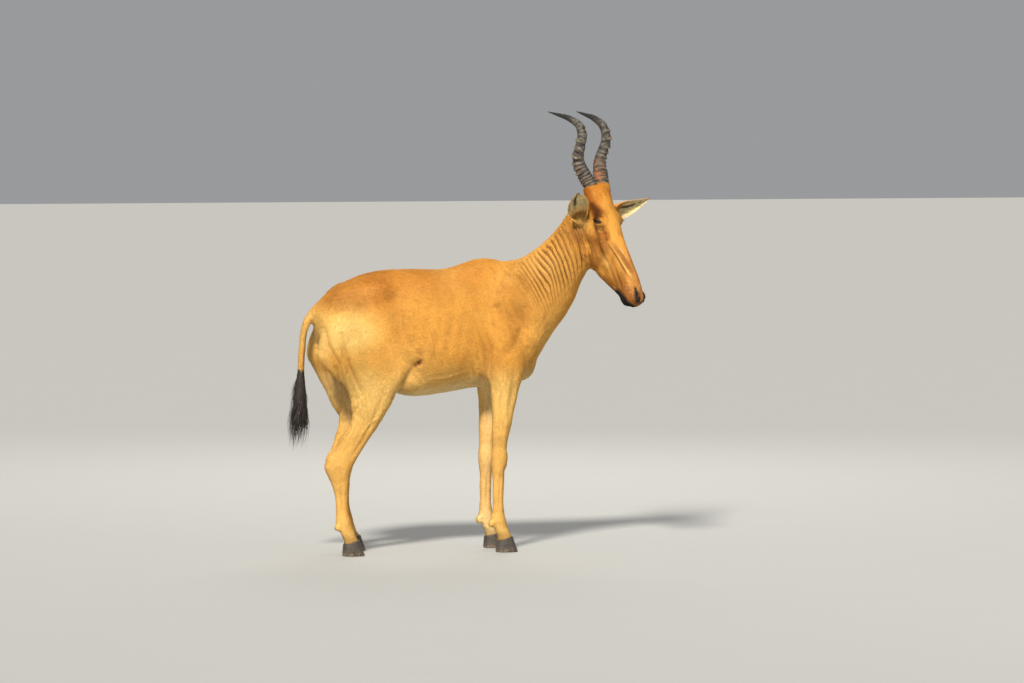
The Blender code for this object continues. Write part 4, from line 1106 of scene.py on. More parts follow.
@dataclass
class Coat:
    """Short flat hair over the skin, as thin closed tufts in several pieces."""

    skin: Skin
    tufts: int = 332000
    pieces: int = 7
    seed: int = 5
    longest: float = 0.0185
    widest: float = 0.0026
    highest: float = 0.0019

    def sizes(self, points: Array) -> Array:
        """Length, width and rise of a tuft at each point, least on the face and the feet."""
        along, left, out = head_place(points).T
        x, _, z = points.T
        face = ease(beyond_neck(points), -0.02, 0.08)
        muzzle = face * ease(along, 0.36, 0.50)
        legs = ease(-z, -0.62, -0.42)
        feet = ease(-z, -0.22, -0.10)
        neck = ease(x, 0.34, 0.46) * ease(z, 0.98, 1.14) * (1 - face)
        long = (1 - 0.46 * face - 0.20 * muzzle) * (1 - 0.35 * legs) * (1 - 0.2 * feet) * (1 - 0.42 * neck)
        wide = (1 - 0.35 * face - 0.15 * muzzle) * (1 - 0.25 * legs) * (1 - 0.15 * neck)
        rise = (1 - 0.55 * face - 0.2 * muzzle) * (1 - 0.35 * legs) * (1 - 0.35 * neck)
        crest = ease(z, 1.15, 1.2) * ease(x, 0.15, 0.6) * 0.0006
        fringe = bump_at(points, (-0.41, 0.0, 0.70), (0.10, 0.4, 0.16)) * 0.0006
        ear = np.where((left > 0)[:, None], EAR_LEFT_AT, EAR_RIGHT_AT)
        brush = np.exp(-((np.linalg.norm(np.stack([along, left, out], 1) - ear, axis=1) / 0.040) ** 2))
        rise = self.highest * rise + crest * (1 - face) + fringe + 0.0030 * brush
        return np.stack([self.longest * long + 0.007 * brush, self.widest * wide, rise], axis=1)

    def build(self) -> list[bpy.types.Object]:
        """Grows the tufts on the finished skin.

        Returns:
            The coat's pieces.
        """
        chance = np.random.default_rng(self.seed)
        mesh = self.skin.obj.data
        points = read_points(mesh) + self.skin.shift
        faces, _ = read_triangles(mesh)
        middle = points[faces].mean(axis=1)
        size = self.sizes(middle)
        weight = areas(points, faces) / (size[:, 0] * size[:, 1]) * (1 - self.bare(middle))
        count = self.tufts
        roots = Roots.spread(mesh, count, weight, chance)
        root = roots.at + self.skin.shift
        kept = self.bare(root) < 0.5
        self.objects = self.grow(root[kept], roots.facing[kept], roots.spot[kept], chance)
        return self.objects

    @staticmethod
    def bare(points: Array) -> Array:
        """1 where no hair grows: on the eyes, the nose, the lips and under the hooves."""
        place = same_on_both(points)
        along, left, out = place.T
        eye = np.linalg.norm(place - np.array(EYE_AT), axis=1) < EYE_RADIUS + 0.0030
        nose = (along > 0.552) & (left < 0.07) & (out > -0.02)
        nostril, _ = line_distance(place[:, [0, 2]], ((0.498, 0.009), (0.556, 0.003)))
        nostril = (nostril < 0.0085) & (along > 0.48)
        return (eye | nose | nostril | (points[:, 2] < 0.052)).astype(float)

    def grow(self, root: Array, facing: Array, spot: Array, chance: np.random.Generator) -> list[bpy.types.Object]:
        """Makes the tufts as flat closed spikes of four triangles and splits them into pieces.

        Args:
            root: where each tuft grows.
            facing: the skin's direction there.
            spot: its place on the skin's map.
            chance: the source of the choices.

        Returns:
            The pieces.
        """
        count = len(root)
        size = self.sizes(root) * chance.uniform(0.72, 1.25, (count, 3))
        way = lie_of_coat(root)
        jitter = chance.normal(0, 0.16, (count, 1))
        way = unit(way - facing * np.sum(way * facing, axis=1, keepdims=True))
        way = unit(way + np.cross(facing, way) * jitter)
        flat = np.cross(facing, way)
        start = root - facing * 0.0006
        half = flat * size[:, 1:2] / 2
        top = root + facing * (size[:, 2:3] * 0.42) + way * size[:, 0:1] * 0.30
        tip = root + way * size[:, 0:1] + facing * size[:, 2:3] * chance.uniform(0.35, 1.0, (count, 1))
        corners = np.stack([start - half, start + half, top, tip], axis=1) - self.skin.shift
        tone = self.skin.markings.colours(root, self.skin.relief(root)[1])
        lighter = chance.normal(1.0, 0.07, (count, 1))
        shades = np.array([0.92, 0.92, 1.0, 1.07])
        lean = facing[:, None, :] + np.stack([-flat, flat, way * 0, way], axis=1) * 0.28
        colours = (tone * lighter)[:, None, :] * shades[None, :, None]
        order = np.array_split(np.argsort(root[:, 0], kind="stable"), self.pieces)
        return [
            tuft_object(f"coat_{number}", corners[part], lean[part], colours[part], spot[part])
            for number, part in enumerate(order)
        ]

    def dress(self, finish: CoatFinish) -> None:
        """Gives every piece of the coat its finish."""
        material = finish.make()
        for obj in self.objects:
            wear(obj, material, "hide")


RINGS_TO_MIDDLE = (0.0, 0.030, 0.060, 0.090, 0.120, 0.155, 0.200)
RINGS = {
    Side.RIGHT: (*RINGS_TO_MIDDLE, 0.245, 0.295, 0.375, 0.455, 0.515, 0.580, 0.665),
    Side.LEFT: (*RINGS_TO_MIDDLE, 0.250, 0.300, 0.350, 0.405, 0.470, 0.535, 0.600, 0.665),
}


@dataclass
class Horn:
    """One ringed horn, finer than its solid, on the same line."""

    side: Side
    shift: Array
    radius: float = 0.0312
    around: int = 56
    steps: int = 420
    ringed: float = 0.665
    dark: Colour = (0.030, 0.026, 0.024)
    grey: Colour = (0.120, 0.103, 0.082)
    pale: Colour = (0.34, 0.265, 0.175)
    black: Colour = (0.013, 0.013, 0.014)
    earth: Colour = (0.42, 0.145, 0.040)
    line: tuple = (
        (0.000, 0.0390, 0.000, 1.00),
        (-0.022, 0.0540, 0.040, 0.97),
        (-0.042, 0.0740, 0.095, 0.88),
        (-0.040, 0.0840, 0.135, 0.78),
        (-0.022, 0.0900, 0.188, 0.70),
        (-0.017, 0.0860, 0.228, 0.66),
        (-0.037, 0.0840, 0.268, 0.55),
        (-0.087, 0.0890, 0.297, 0.40),
        (-0.140, 0.0960, 0.312, 0.24),
        (-0.193, 0.1020, 0.325, 0.03),
    )

    def build(self) -> bpy.types.Object:
        """Makes the horn with its rings, furrows and smooth tip.

        Returns:
            The horn.
        """
        rows = through(self.line, 8)
        forward = np.array(FACING)
        outward = np.array(LEFT) * self.side.value
        line = np.array(POLL) + rows[:, :1] * forward + rows[:, 1:2] * outward + rows[:, 2:3] * np.array(UP)
        lengths = np.concatenate([[0.0], np.cumsum(np.linalg.norm(np.diff(line, axis=0), axis=1))])
        turn = np.linspace(0, 2 * math.pi, self.around, endpoint=False)

        def at(place: float) -> Array:
            """The point of the line at a length from its root."""
            return np.array([np.interp(place, lengths, line[:, k]) for k in range(3)])

        rings, tones = [], []
        for i in range(self.steps + 1):
            share = i / self.steps
            place = share * lengths[-1]
            way = unit(at(place + 0.012) - at(max(place - 0.012, 0)))
            level = min(1.0, share / 0.11)
            way = unit(way * level - np.array(DOWN_HEAD) * (1 - level))
            first = unit(np.cross(way, forward))
            second = np.cross(first, way)
            swell, tone = self.ridges(share, turn)
            radius = self.radius * float(np.interp(place, lengths, rows[:, 3])) * swell
            shape = np.stack([np.cos(turn) * 0.96, np.sin(turn) * 1.06], axis=1) * radius[:, None]
            sink = -0.003 * (1 - min(1.0, share / 0.01))
            rings.append(at(place) + way * sink + shape[:, :1] * first + shape[:, 1:] * second)
            tones.append(tone)
        points, faces = tube(rings)
        self.obj = mesh_object(f"horn_{self.side.word}_ringed", points - self.shift, faces)
        paint(self.obj.data, np.vstack([*tones, tones[0][:1], tones[-1][:1]]))
        return self.obj

    def ridges(self, share: float, turn: Array) -> tuple[Array, Array]:
        """How the rings swell the horn, and their colour, round one section.

        Args:
            share: how far along the horn the section is.
            turn: angles round it.

        Returns:
            A factor for the radius, and a colour for each angle.
        """
        right = self.side is Side.RIGHT
        seed = 31 if right else 37
        places = RINGS[self.side]
        round_it = np.cos(turn), np.sin(turn)
        spot = np.stack([round_it[0] * 0.5, round_it[1] * 0.5, np.full(len(turn), share * 9.0)], axis=1)
        wobble = grain(spot, 2.2, seed) * 0.20 + grain(spot, 5.0, seed + 5) * 0.08
        phase = np.interp(share, places, range(len(places)), right=99.0) + wobble
        saw = phase - np.floor(phase)
        crest = np.clip(np.where(saw < 0.30, saw / 0.30, (1 - saw) / 0.70), 0, 1) ** 1.35
        fade = eased(self.ringed - share, 0.0, 0.10)
        near_head = eased(-share, -0.19, -0.02)
        calm = 1 - 0.6 * math.exp(-(((share - 0.225) / 0.035) ** 2))
        knob = np.interp(share, (0.45, 0.58), (4.05, 7.0)) if right else 0.9
        lobe = np.clip(0.55 + 0.42 * np.cos(turn - knob) + 0.62 * grain(spot, 1.9, seed + 2), 0.12, 1.35)
        depth = (0.285 - 0.205 * near_head) * (lobe * (1 - near_head) + 0.9 * near_head) * calm
        fine = 0.013 * np.cos(2 * math.pi * (phase * 3.0)) * (0.5 + near_head)
        cells = np.stack([round_it[0] * 5, round_it[1] * 5, np.full(len(turn), share * 3)], 1)
        furrow = 0.018 * grain(cells, 2.0, 4)
        swell = 1 + fade * (depth * (crest - 0.5) + fine) + furrow * (0.35 + 0.65 * fade)

        dark, grey, pale, black, earth = map(np.array, (self.dark, self.grey, self.pale, self.black, self.earth))
        tone = blend(dark, grey, np.clip(0.55 + 0.95 * grain(spot * (1, 1, 2.2), 3.1, seed + 9), 0, 1))
        # Painted shade in the furrows between the rings.
        tone = tone * (1 - 0.45 * fade * ease(-crest, -0.30, 0.0))[:, None]
        # Pale on the crests, heaviest on the knobbly side: partly worn horn and partly painted highlight.
        bright = np.clip(0.5 + 0.9 * grain(spot * (1.4, 1.4, 2.0), 4.4, seed + 21), 0, 1)
        light = fade * crest**3 * bright * (0.9 * lobe * (1 - near_head) + 0.8 * near_head)
        tone = blend(tone, pale, np.clip(light, 0, 1))
        end = eased(share, 0.60, 0.78)
        streak = np.clip(0.8 * grain(spot * (2.2, 2.2, 0.8), 3.0, seed + 33) - 0.1, 0, 1)[:, None] * (1 - end)
        tone = tone * (1 - 0.92 * end) + black * 0.92 * end + pale * streak * end
        front = np.clip(0.5 + 0.5 * np.cos(turn - 3.6), 0, 1) ** 1.6
        muddy = (0.06 if right else 0.70) * eased(-share, -0.33, -0.20)
        mud = muddy * front * (0.50 + 1.1 * grain(spot * (1.3, 1.3, 1.6), 4.0, seed + 40))
        return swell, blend(tone, earth, np.clip(mud, 0, 0.85))

    def dress(self, material: bpy.types.Material) -> None:
        """Gives the horn its finish and lets it stand for its node."""
        wear(self.obj, material, "horn", f"horn_{self.side.word}")


@dataclass
class Ear:
    """One ear: a smooth cupped leaf on a furred base, with pale hair and dark streaks inside."""

    side: Side
    shift: Array
    markings: Markings
    hairs: int = 9500
    length: float = 0.208
    seed: int = 11
    hair_width: float = 0.0016
    cream: Colour = (1.0, 0.78, 0.38)
    golden: Colour = (1.0, 0.60, 0.20)
    dark: Colour = (0.045, 0.028, 0.018)
    back: Colour = (0.62, 0.25, 0.045)
    tip: Colour = (0.30, 0.10, 0.022)
    sunward: Colour = (-0.35, -0.64, 0.61)

    def build(self, nodes: dict[str, bpy.types.Object]) -> bpy.types.Object:
        """Smooths the ear's solid, closes its base and colours its inside and back.

        Args:
            nodes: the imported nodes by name.

        Returns:
            The ear.
        """
        name = f"ear_{self.side.word}"
        points, faces = swollen(nodes[name].data)
        root, way, face = self.frame()
        depth = (points + self.shift - root) @ way
        leaf = mesh_object("leaf", points - np.outer(np.where(depth < 0.004, 0.006, 0.0), way), faces)
        modified(leaf, "SUBSURF", levels=3, render_levels=3)
        faces, _ = read_triangles(leaf.data)
        whole = merged([(read_points(leaf.data), faces), self.base()])
        bpy.data.objects.remove(leaf)
        self.obj = mesh_object(f"{name}_leaf", *whole)
        unwrapped(self.obj)
        place = read_points(self.obj.data) + self.shift
        paint(self.obj.data, self.tones(place, ease(read_normals(self.obj.data) @ face, -0.05, 0.35)))
        self.tufts = self.lining()
        return self.obj

    def base(self) -> tuple[Array, Array]:
        """The furred knob that the leaf stands in."""
        root, way, face = self.frame()
        across = np.cross(way, face)
        rings = []
        for angle in np.linspace(0.08, math.pi - 0.08, 16):
            middle = root - way * (0.008 + 0.032 * math.cos(angle)) - face * 0.004 - self.shift
            rings.append(oval(middle, face, across, 0.0215 * math.sin(angle), 0.0290 * math.sin(angle), 28))
        return tube(rings)

    def half_width(self, share: Array) -> Array:
        """Half the leaf's width at a share of its length."""
        shares = (0, 0.13, 0.38, 0.52, 0.66, 0.79, 0.9, 1)
        wide = np.interp(share, shares, (0.029, 0.035, 0.046, 0.044, 0.036, 0.025, 0.013, 0.003))
        return wide * (1.10 if self.side is Side.RIGHT else 1.10 - 0.38 * share)

    def frame(self) -> tuple[Array, Array, Array]:
        """Root, direction and facing of the ear, as its solid has them."""
        if self.side is Side.RIGHT:
            way = FACING * 0.0915 - LEFT * 0.139 + UP * 0.127
            face = FACING * 0.700 - LEFT * 0.240 - UP * 0.500
            at = EAR_RIGHT_AT
        else:
            way = FACING * 0.112 + LEFT * 0.156 + UP * 0.071
            face = FACING * 0.700 - LEFT * 0.300 - UP * 0.500
            at = EAR_LEFT_AT
        way.normalize()
        face = (face - way * face.dot(way)).normalized()
        return np.array(in_head(*at)), np.array(way), np.array(face)

    def tones(self, place: Array, inside: Array) -> Array:
        """The ear's colours.

        Args:
            place: points in the model's own frame.
            inside: 1 on the hollow side.

        Returns:
            A colour for each point.
        """
        root, way, face = self.frame()
        right = self.side is Side.RIGHT
        share = ((place - root) @ way) / self.length
        raw = (place - root) @ np.cross(way, face)
        off = raw / self.half_width(share)

        def noise(across: Array, along: Array, scale: float, seed: int) -> Array:
            """Smooth noise over the leaf's two directions."""
            return grain(np.stack([across, along, off * 0], axis=1), scale, seed)

        bend = noise(share * 3.0, off * 0.5, 1.6, 43 + self.side.value) * 0.16 + 0.05
        gap = -0.80 if right else -0.40
        broken = ease(noise(off, share * 7, 2.0, 7 + self.side.value), gap, gap + 0.5)
        middle = ease(-np.abs(off + bend), -0.24, -0.05) * broken
        second = ease(-np.abs(np.abs(off + bend) - 0.50), -0.16, -0.03) * (1 - broken) * 0.8
        fine = ease(noise(off * 6, share * 3.5, 2.0, 41), 0.05, 0.55) * 0.40
        lines = np.maximum(np.maximum(middle, second), fine) * ease(share, 0.15, 0.27) * ease(-share, -0.97, -0.88)
        for at, to in ((0.345, -0.036), (0.19, -0.017)) if right else ():
            lines = np.maximum(lines, np.exp(-(((share - at) * self.length) ** 2 + (raw - to) ** 2) / 0.0065**2))
        back, tip = np.array(self.back), np.array(self.tip)
        inner = blend(np.array(self.cream), np.array(self.dark), 0.92 * lines)
        inner = blend(inner, np.array(self.golden), ease(-share, -0.40, -0.12) * 0.80)
        inner = blend(inner, back, ease(np.abs(off), 0.82, 0.98) * 0.35)
        if not right:
            inner = blend(inner, back, ease(-(share - 0.216 - 5.44 * (0.018 - raw)), -0.03, 0.03) * 0.9)
        end = ease(share, 0.86, 0.99) * 0.85
        whole = blend(blend(back, tip, end), blend(inner, tip, end), inside)
        return blend(whole, self.markings.colours(place), ease(-share, -0.19, -0.07))

    def lining(self) -> bpy.types.Object:
        """Pale hairs in the hollow and short ones on the back, along the rim and over the base."""
        chance = np.random.default_rng(self.seed + self.side.value)
        mesh = self.obj.data
        root, way, face = self.frame()
        count = self.hairs
        roots = Roots.spread(mesh, count, areas(read_points(mesh), read_triangles(mesh)[0]), chance)
        facing = roots.facing
        place = roots.at + self.shift
        share = ((place - root) @ way) / self.length
        inside = ease(facing @ face, -0.05, 0.35)
        across = np.cross(way, face)
        off = (place - root) @ across
        lean = way[None, :] * 1.0 + across[None, :] * (off * 22)[:, None] * inside[:, None]
        lean = unit(lean - facing * np.sum(lean * facing, axis=1, keepdims=True))
        lean = unit(lean + np.cross(facing, lean) * chance.normal(0, 0.22, (count, 1)))
        low = ease(-share, -0.20, -0.05)
        long = 0.008 + 0.009 * inside * ease(-share, -0.85, -0.2) + 0.004 * low
        long = long * chance.uniform(0.7, 1.25, count)
        rim = ease(np.abs(off) / self.half_width(share), 0.70, 0.92) * ease(share, 0.12, 0.2)
        long = (np.where(share > 0.9, long * 0.45, long) * (1 - 0.45 * rim))[:, None]
        rise = (0.0006 + (0.0018 * inside * (1 - rim) + 0.0022 * low) * chance.uniform(0.1, 1.0, count))[:, None]
        flat = np.cross(facing, lean)
        half = flat * self.hair_width / 2
        start = roots.at - facing * 0.0004
        middle = roots.at + facing * rise * 0.6 + lean * long * 0.4
        corners = np.stack([start - half, start + half, middle, roots.at + lean * long + facing * rise], axis=1)
        lift = (np.array(self.sunward) * 1.1 * inside[:, None])[:, None, :]
        lit = facing[:, None, :] + np.stack([-flat, flat, flat * 0, lean], axis=1) * 0.25 + lift
        tone = self.tones(place, inside) * chance.normal(1.0, 0.09, (count, 1))
        colours = tone[:, None, :] * np.array([0.85, 0.85, 1.0, 1.12])[None, :, None]
        return tuft_object(f"ear_{self.side.word}_hair", corners, lit, colours, roots.spot)

    def dress(self, finish: CoatFinish) -> None:
        """Gives the ear its finish and lets it stand for its node."""
        material = finish.make()
        wear(self.obj, material, "ear", f"ear_{self.side.word}")
        wear(self.tufts, material, "ear")


@dataclass
class Eye:
    """One eye: the ball with iris and pupil, dark lid rims and lashes."""

    side: Side
    shift: Array
    steps: int = 48
    around: int = 64
    iris: float = 0.0128
    half_open: float = 0.0192
    upper: float = 0.0072
    lower: float = 0.0056
    seed: int = 23
    brown: Colour = (0.060, 0.024, 0.011)
    ring: Colour = (0.012, 0.008, 0.006)
    white: Colour = (0.040, 0.022, 0.015)
    pupil: Colour = (0.003, 0.003, 0.004)
    lid: Colour = (0.36, 0.135, 0.036)
    lash: Colour = (0.02, 0.012, 0.008)

    def build(self) -> None:
        """Makes the ball, the rims of both lids and the lashes of the upper one."""
        side = self.side.value
        self.centre = np.array(in_head(EYE_AT[0], side * EYE_AT[1], EYE_AT[2]))
        self.outward = np.array(LEFT) * side
        level = np.array(FACING * 0.97 - UP * 0.24)
        self.level = unit(level - self.outward * (level @ self.outward))
        up = np.cross(self.outward, self.level)
        self.up = up if up[2] > 0 else -up
        self.ball = self.make_ball()
        self.rims = self.make_rims()
        self.lashes = self.make_lashes()

    def make_ball(self) -> bpy.types.Object:
        """The eyeball, with its colours painted round its outward axis."""
        rings = []
        radius = EYE_RADIUS - 0.0002
        for angle in math.pi * np.arange(1, self.steps) / self.steps:
            bulge = 1.0 + 0.035 * math.exp(-((angle / 0.5) ** 2))
            middle = self.centre + self.outward * math.cos(angle) * radius * bulge
            wide = math.sin(angle) * radius
            rings.append(oval(middle, self.level, self.up, wide, wide, self.around))
        points, faces = tube(rings)
        obj = mesh_object(f"eye_{self.side.word}_ball", points - self.shift, faces)
        off = points - self.centre
        across, high = off @ self.level, off @ self.up
        front = off @ self.outward > 0
        inwards = -np.hypot(across, high)
        colours = blend(np.array(self.white), np.array(self.ring), ease(inwards, -self.iris, -self.iris + 0.0022))
        colours = blend(colours, np.array(self.brown), ease(inwards, -self.iris + 0.0015, -self.iris + 0.0042))
        pupil = np.hypot(across / 0.0082, high / 0.0038)
        colours = blend(colours, np.array(self.pupil), ease(-pupil, -1.08, -0.92) * front)
        height = np.where(high > 0, self.upper, self.lower)
        opening = (np.abs(across) / self.half_open) ** 2 + (np.abs(high) / height) ** 1.5
        paint(obj.data, blend(colours, np.array(self.lid), ease(opening, 1.0, 1.3) * front))
        return obj

    def edge(self, turn: Array, grow: float, radius: float) -> Array:
        """Points of the lids' edge on a ball round the eye.

        Args:
            turn: angles round the opening.
            grow: how far outside the opening.
            radius: the ball's radius.

        Returns:
            The points.
        """
        flat = np.sin(turn) * np.abs(np.sin(turn)) ** 0.35
        across = (self.half_open + grow) * np.cos(turn)
        rise = (np.where(flat > 0, self.upper, self.lower) + grow) * flat
        out = np.sqrt(np.maximum(radius**2 - across**2 - rise**2, 1e-8))
        return self.centre + np.outer(across, self.level) + np.outer(rise, self.up) + np.outer(out, self.outward)

    def make_rims(self) -> bpy.types.Object:
        """A moist dark band round the opening, which rolls from the ball onto the lid."""
        turn = np.linspace(0, 2 * math.pi, 96, endpoint=False)
        profile = (
            (0.0008, -0.0014, 0.015),
            (-0.0010, 0.0008, 0.015),
            (-0.0012, 0.0026, 0.02),
            (-0.0002, 0.0040, 0.03),
            (0.0014, 0.0044, 0.07),
            (0.0030, 0.0036, 0.13),
            (0.0036, 0.0018, 0.13),
            (0.0026, -0.0006, 0.06),
        )
        stack = np.array([self.edge(turn, grow, EYE_RADIUS + high) for grow, high, _ in profile])
        count, around = stack.shape[:2]
        i, j = (grid.reshape(-1) for grid in np.meshgrid(np.arange(count), np.arange(around), indexing="ij"))
        after, beside = (i + 1) % count, (j + 1) % around
        corners = ((i, j), (i, beside), (after, beside), (after, j))
        faces = np.stack([row * around + column for row, column in corners], 1)
        if self.side is Side.LEFT:
            faces = faces[:, ::-1]
        obj = mesh_object(f"eye_{self.side.word}_rim", stack.reshape(-1, 3) - self.shift, faces)
        paint(obj.data, np.outer(np.repeat([tone for _, _, tone in profile], around), (1.0, 0.46, 0.25)))
        return obj

    def make_lashes(self) -> bpy.types.Object:
        """Fine dark lashes along the upper lid, as closed bent spikes of three sides."""
        chance = np.random.default_rng(self.seed + self.side.value)
        count = 64
        wide = 0.00028
        turn = chance.uniform(0.12 * math.pi, 0.90 * math.pi, count)
        root = self.edge(turn, 0.0006, EYE_RADIUS + 0.0046)
        way = self.outward * 0.75 + self.up * 0.25 + self.level * np.cos(turn)[:, None] * 0.45
        way = unit(way + chance.normal(0, 0.10, (count, 3)))
        flat = unit(np.cross(way, self.up))
        third = np.cross(flat, way)
        long = chance.uniform(0.008, 0.0125, (count, 1))
        points = []
        for centre, thick in ((root, wide), (root + way * long * 0.55 - self.up * 0.0022, wide * 0.7)):
            for angle in 2 * math.pi * np.arange(3) / 3:
                points.append(centre + flat * (math.cos(angle) * thick) + third * (math.sin(angle) * thick))
        points.append(root + way * long + self.up * 0.0006)
        stack = np.stack(points, axis=1)
        lower = [[0, 2, 1], [0, 1, 4], [0, 4, 3], [1, 2, 5], [1, 5, 4], [2, 0, 3], [2, 3, 5]]
        upper = [[3, 4, 6], [4, 5, 6], [5, 3, 6]]
        faces = (np.array(lower + upper)[None] + (np.arange(count) * 7)[:, None, None]).reshape(-1, 3)
        obj = mesh_object(f"eye_{self.side.word}_lashes", stack.reshape(-1, 3) - self.shift, faces)
        paint(obj.data, np.tile(self.lash, (count * 7, 1)))
        return obj

    def dress(self, ball: bpy.types.Material, lids: bpy.types.Material) -> None:
        """Gives the eye its finishes and lets the ball stand for its node."""
        wear(self.ball, ball, "eye", f"eye_{self.side.word}")
        wear(self.rims, lids, "face")
        wear(self.lashes, lids, "hair")


@dataclass
class Hooves:
    """The eight claws, rounded and with growth lines."""

    voxel: float = 0.0018
    rounds: int = 6
    sink: float = 0.03
    lift: float = 0.0012

    def build(self, nodes: dict[str, bpy.types.Object]) -> None:
        """Makes each claw from its solid, with soft edges, and its top a little up in the foot.

        Args:
            nodes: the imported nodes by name.
        """
        self.objects = {}
        for name in CLAWS:
            points, faces = swollen(nodes[name].data)
            points[:, 2] += np.where(points[:, 2] > points[:, 2].max() - self.sink, self.lift, 0.0)
            obj = remeshed(mesh_object(f"{name}_claw", points, faces), self.voxel)
            mesh = obj.data
            points = read_points(mesh)
            smooth = relaxed(mesh, points, self.rounds, np.ones(len(points)))
            smooth[:, 2] = np.maximum(smooth[:, 2], 0.0002)
            write_points(mesh, smooth)
            mesh.shade_smooth()
            self.objects[name] = obj

    def dress(self, material: bpy.types.Material) -> None:
        """Gives the claws their finish and lets them stand for their nodes."""
        for name, obj in self.objects.items():
            wear(obj, material, "hoof", name)


@dataclass
class TailTuft:
    """The black tuft: many fine locks round a short core, longest at its middle."""

    shift: Array
    locks: int = 520
    top: float = 0.800
    seed: int = 7
    around: int = 6
    stations: tuple = (
        (0.802, 0.0135),
        (0.775, 0.0165),
        (0.740, 0.021),
        (0.695, 0.026),
        (0.650, 0.0255),
        (0.610, 0.016),
        (0.585, 0.005),
    )

    def build(self) -> bpy.types.Object:
        """Makes the locks as one piece.

        Returns:
            The tuft.
        """
        chance = np.random.default_rng(self.seed)
        core = mesh_object("core", *self.core())
        spots = unwrapped(core)
        near = read_points(core.data)
        corner_points = read_rows(core.data.loops, "vertex_index", 1, np.int32)[:, 0]
        bpy.data.objects.remove(core)
        parts = [self.core()]
        flat = [spots]
        for _ in range(self.locks):
            line, out = self.hang(chance)
            points, faces = self.lock(line, out, chance.uniform(0.0016, 0.0038), 0.0010)
            parts.append((points, faces))
            nearest = np.argmin(np.linalg.norm(near - line[0], axis=1))
            spot = spots[np.flatnonzero(corner_points == nearest)[0]]
            flat.append(spot + self.patches(len(line))[faces].reshape(-1, 2))
        points, faces = merged(parts)
        self.obj = mesh_object("tail_tuft_locks", points - self.shift, faces)
        write_map(self.obj.data, np.vstack(flat))
        return self.obj

    def hang(self, chance: np.random.Generator) -> tuple[Array, Array]:
        """The line of one lock from its root to its tip, and which way it grows out."""
        depth = chance.random() ** 0.8
        turn = chance.uniform(0, 2 * math.pi)
        out = np.array((math.cos(turn), math.sin(turn), 0.0))
        down = np.array((0, 0, -1.0))
        reach = chance.uniform(0.075, 0.150) + 0.055 * depth
        spread = chance.uniform(0.006, 0.024) * (0.5 + 0.5 * depth)
        sway = np.array((-0.014, 0.004, 0.0)) * chance.uniform(-0.3, 1.2)
        base = np.array((TAIL_X - 0.004 * depth, 0.0, self.top - 0.165 * depth))
        body = 0.012 + 0.010 * depth
        stations = (
            base + out * body * 0.8,
            base + out * (body + spread * 0.55) + down * (0.30 * reach),
            base + out * (body + spread) * 0.95 + down * (0.62 * reach) + sway,
            base + out * (body * 0.4 + spread * 0.5) + down * reach + sway * 2.2,
        )
        return through(stations, 3), out

    def patches(self, rings: int) -> Array:
        """The place of each point of a lock within its small patch of the map."""
        row, step = np.meshgrid(np.arange(rings), np.arange(self.around), indexing="ij")
        inner = np.stack([step / (self.around - 1) - 0.5, row / (rings - 1) - 0.5], axis=2).reshape(-1, 2)
        return np.vstack([inner, (0.0, -0.5), (0.0, 0.5)]) * PATCH

    def core(self) -> tuple[Array, Array]:
        """The dense middle of the tuft."""
        rings = []
        for z, radius in through(self.stations, 4):
            middle = np.array((TAIL_X - 0.04 * (0.775 - z), 0, z))
            rings.append(oval(middle, np.array((1.0, 0, 0)), np.array((0, 1.0, 0)), radius, radius, 28))
        return tube(rings)

    def lock(self, line: Array, facing: Array, wide: float, thick: float) -> tuple[Array, Array]:
        """One flat lock that tapers to a fine tip.

        Args:
            line: points from its root to its tip.
            facing: which way its flat side faces.
            wide: half its width.
            thick: half its thickness.

        Returns:
            Points and triangles.
        """
        rings = []
        for i, at in enumerate(line):
            share = i / (len(line) - 1)
            way = unit(line[min(i + 1, len(line) - 1)] - line[max(i - 1, 0)])
            flat = unit(np.cross(way, facing))
            taper = max(0.03, (0.55 + 0.45 * math.sin(math.pi * min(1.0, share * 1.6))) * (1 - share**1.8))
            rings.append(oval(at, flat, np.cross(flat, way), wide * taper, thick * taper, self.around))
        return tube(rings)

    def dress(self, material: bpy.types.Material) -> None:
        """Gives the tuft its finish and lets it stand for its node."""
        wear(self.obj, material, "hair", "tail_tuft")


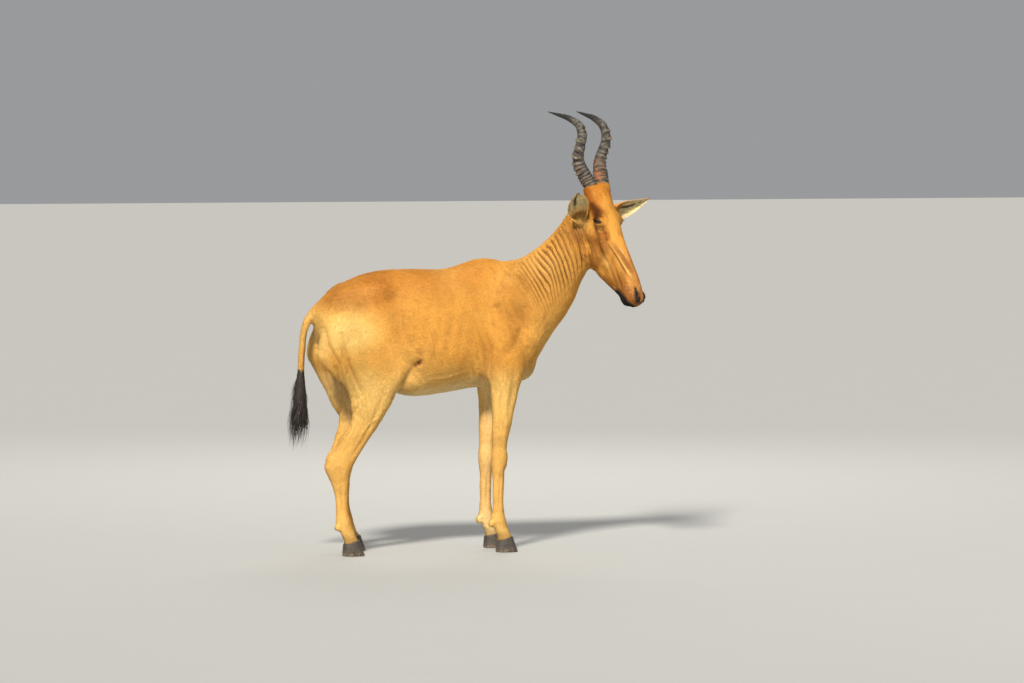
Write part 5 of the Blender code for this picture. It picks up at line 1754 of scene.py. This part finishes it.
@dataclass
class Studio:
    """A pale floor, soft lights and the camera where the photographer stood."""

    shift: Array
    target: tuple = (0.365, -0.098, 0.915)
    azimuth: float = -15.0
    elevation: float = 3.0
    distance: float = 22.0
    lens: float = 178.0
    floor_half: float = 60.0
    floor_below: float = 0.0004
    world_colour: Colour = (0.88, 0.90, 0.92)
    world_strength: float = 0.36
    sun: tuple = ("key", (0.46, 0.84, -0.80), 4.75, 9.0, (1.0, 0.955, 0.87))
    lamps: tuple = (
        ("fill", (4.5, -4.5, 2.4), 45.0, 4.0, (0.93, 0.96, 1.0)),
        ("back", (1.5, 5.0, 4.2), 90.0, 3.0, (1.0, 0.97, 0.93)),
    )

    @staticmethod
    def hang(name: str, data: bpy.types.ID, way: Vector, place: Row = (0, 0, 0)) -> bpy.types.Object:
        """Puts a camera or a light at a place, looking a way."""
        obj = bpy.data.objects.new(name, data)
        obj.location = place
        obj.rotation_mode = "QUATERNION"
        obj.rotation_quaternion = way.to_track_quat("-Z", "Y")
        bpy.context.scene.collection.objects.link(obj)
        return obj

    def camera(self) -> None:
        """Sets the camera up at the photograph's viewing angle."""
        data = bpy.data.cameras.new("camera")
        data.lens = self.lens
        data.sensor_width = 36.0
        data.clip_end = 200.0
        a = math.radians(self.azimuth)
        e = math.radians(self.elevation)
        back = Vector((math.sin(a) * math.cos(e), -math.cos(a) * math.cos(e), math.sin(e)))
        place = Vector(self.target) - Vector(self.shift) + back * self.distance
        bpy.context.scene.camera = self.hang("camera", data, -back, place)

    def floor(self) -> None:
        """Lays the floor."""
        corners = np.array(((-1, -1, 0), (1, -1, 0), (1, 1, 0), (-1, 1, 0))) * self.floor_half
        obj = mesh_object("floor", corners - np.array((0, 0, self.floor_below)), np.array([[0, 1, 2, 3]]))
        obj.data.materials.append(FloorFinish().make())

    def light(self, name: str, place: Row, power: float, size: float, colour: Colour) -> None:
        """One soft square light that faces the animal."""
        data = bpy.data.lights.new(name, "AREA")
        data.energy = power
        data.size = size
        data.color = colour
        self.hang(name, data, Vector((0, 0, 0.9)) - Vector(place), place)

    def lights(self) -> None:
        """Sets the lights and the pale surroundings."""
        name, way, power, spread, colour = self.sun
        data = bpy.data.lights.new(name, "SUN")
        data.energy = power
        data.angle = math.radians(spread)
        data.color = colour
        self.hang(name, data, Vector(way))
        for lamp in self.lamps:
            self.light(*lamp)
        world = bpy.data.worlds.new("surroundings")
        world.use_nodes = True
        shade = world.node_tree.nodes["Background"]
        shade.inputs["Color"].default_value = (*self.world_colour, 1.0)
        shade.inputs["Strength"].default_value = self.world_strength
        bpy.context.scene.world = world
        bpy.context.scene.view_settings.view_transform = "Standard"
        bpy.context.scene.view_settings.look = "None"
        bpy.context.scene.view_settings.exposure = 0.0


def report(*pieces: bpy.types.Object) -> None:
    """Logs each piece with its count of faces."""
    for obj in pieces:
        LOG.info("%s: %d faces", obj.name, len(obj.data.polygons))


def main() -> None:
    """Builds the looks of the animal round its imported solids."""
    logging.basicConfig(level=logging.INFO, format="%(message)s")
    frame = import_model()
    nodes = frame["nodes"]
    low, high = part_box("eye_right")
    shift = np.array(in_head(EYE_AT[0], -EYE_AT[1], EYE_AT[2])) - np.array((low + high) / 2)
    LOG.info("shift %s", np.round(shift, 5))
    studio = Studio(shift)
    studio.camera()
    studio.floor()
    studio.lights()

    skin = Skin(shift)
    skin.build(nodes)
    skin.dress(CoatFinish("hide_finish"))
    report(skin.obj)
    coat = Coat(skin)
    coat.build()
    coat.dress(CoatFinish("coat_finish"))
    report(*coat.objects)

    horn_look = HornFinish().make()
    eye_look = EyeFinish().make()
    lid_look = CoatFinish("lid_finish", roughness=0.36, streak=0.05, grain=0.0001, sheen=0.0).make()
    for side in Side:
        horn = Horn(side, shift)
        horn.build()
        horn.dress(horn_look)
        report(horn.obj)
        ear = Ear(side, shift, skin.markings)
        ear.build(nodes)
        ear.dress(CoatFinish(f"ear_{side.word}_finish", grain=0.0003))
        report(ear.obj, ear.tufts)
        eye = Eye(side, shift)
        eye.build()
        eye.dress(eye_look, lid_look)
        report(eye.ball, eye.rims, eye.lashes)
    hooves = Hooves()
    hooves.build(nodes)
    hooves.dress(HoofFinish().make())
    report(*hooves.objects.values())
    tuft = TailTuft(shift)
    tuft.build()
    tuft.dress(HairFinish().make())
    report(tuft.obj)


if __name__ == "__main__":
    main()
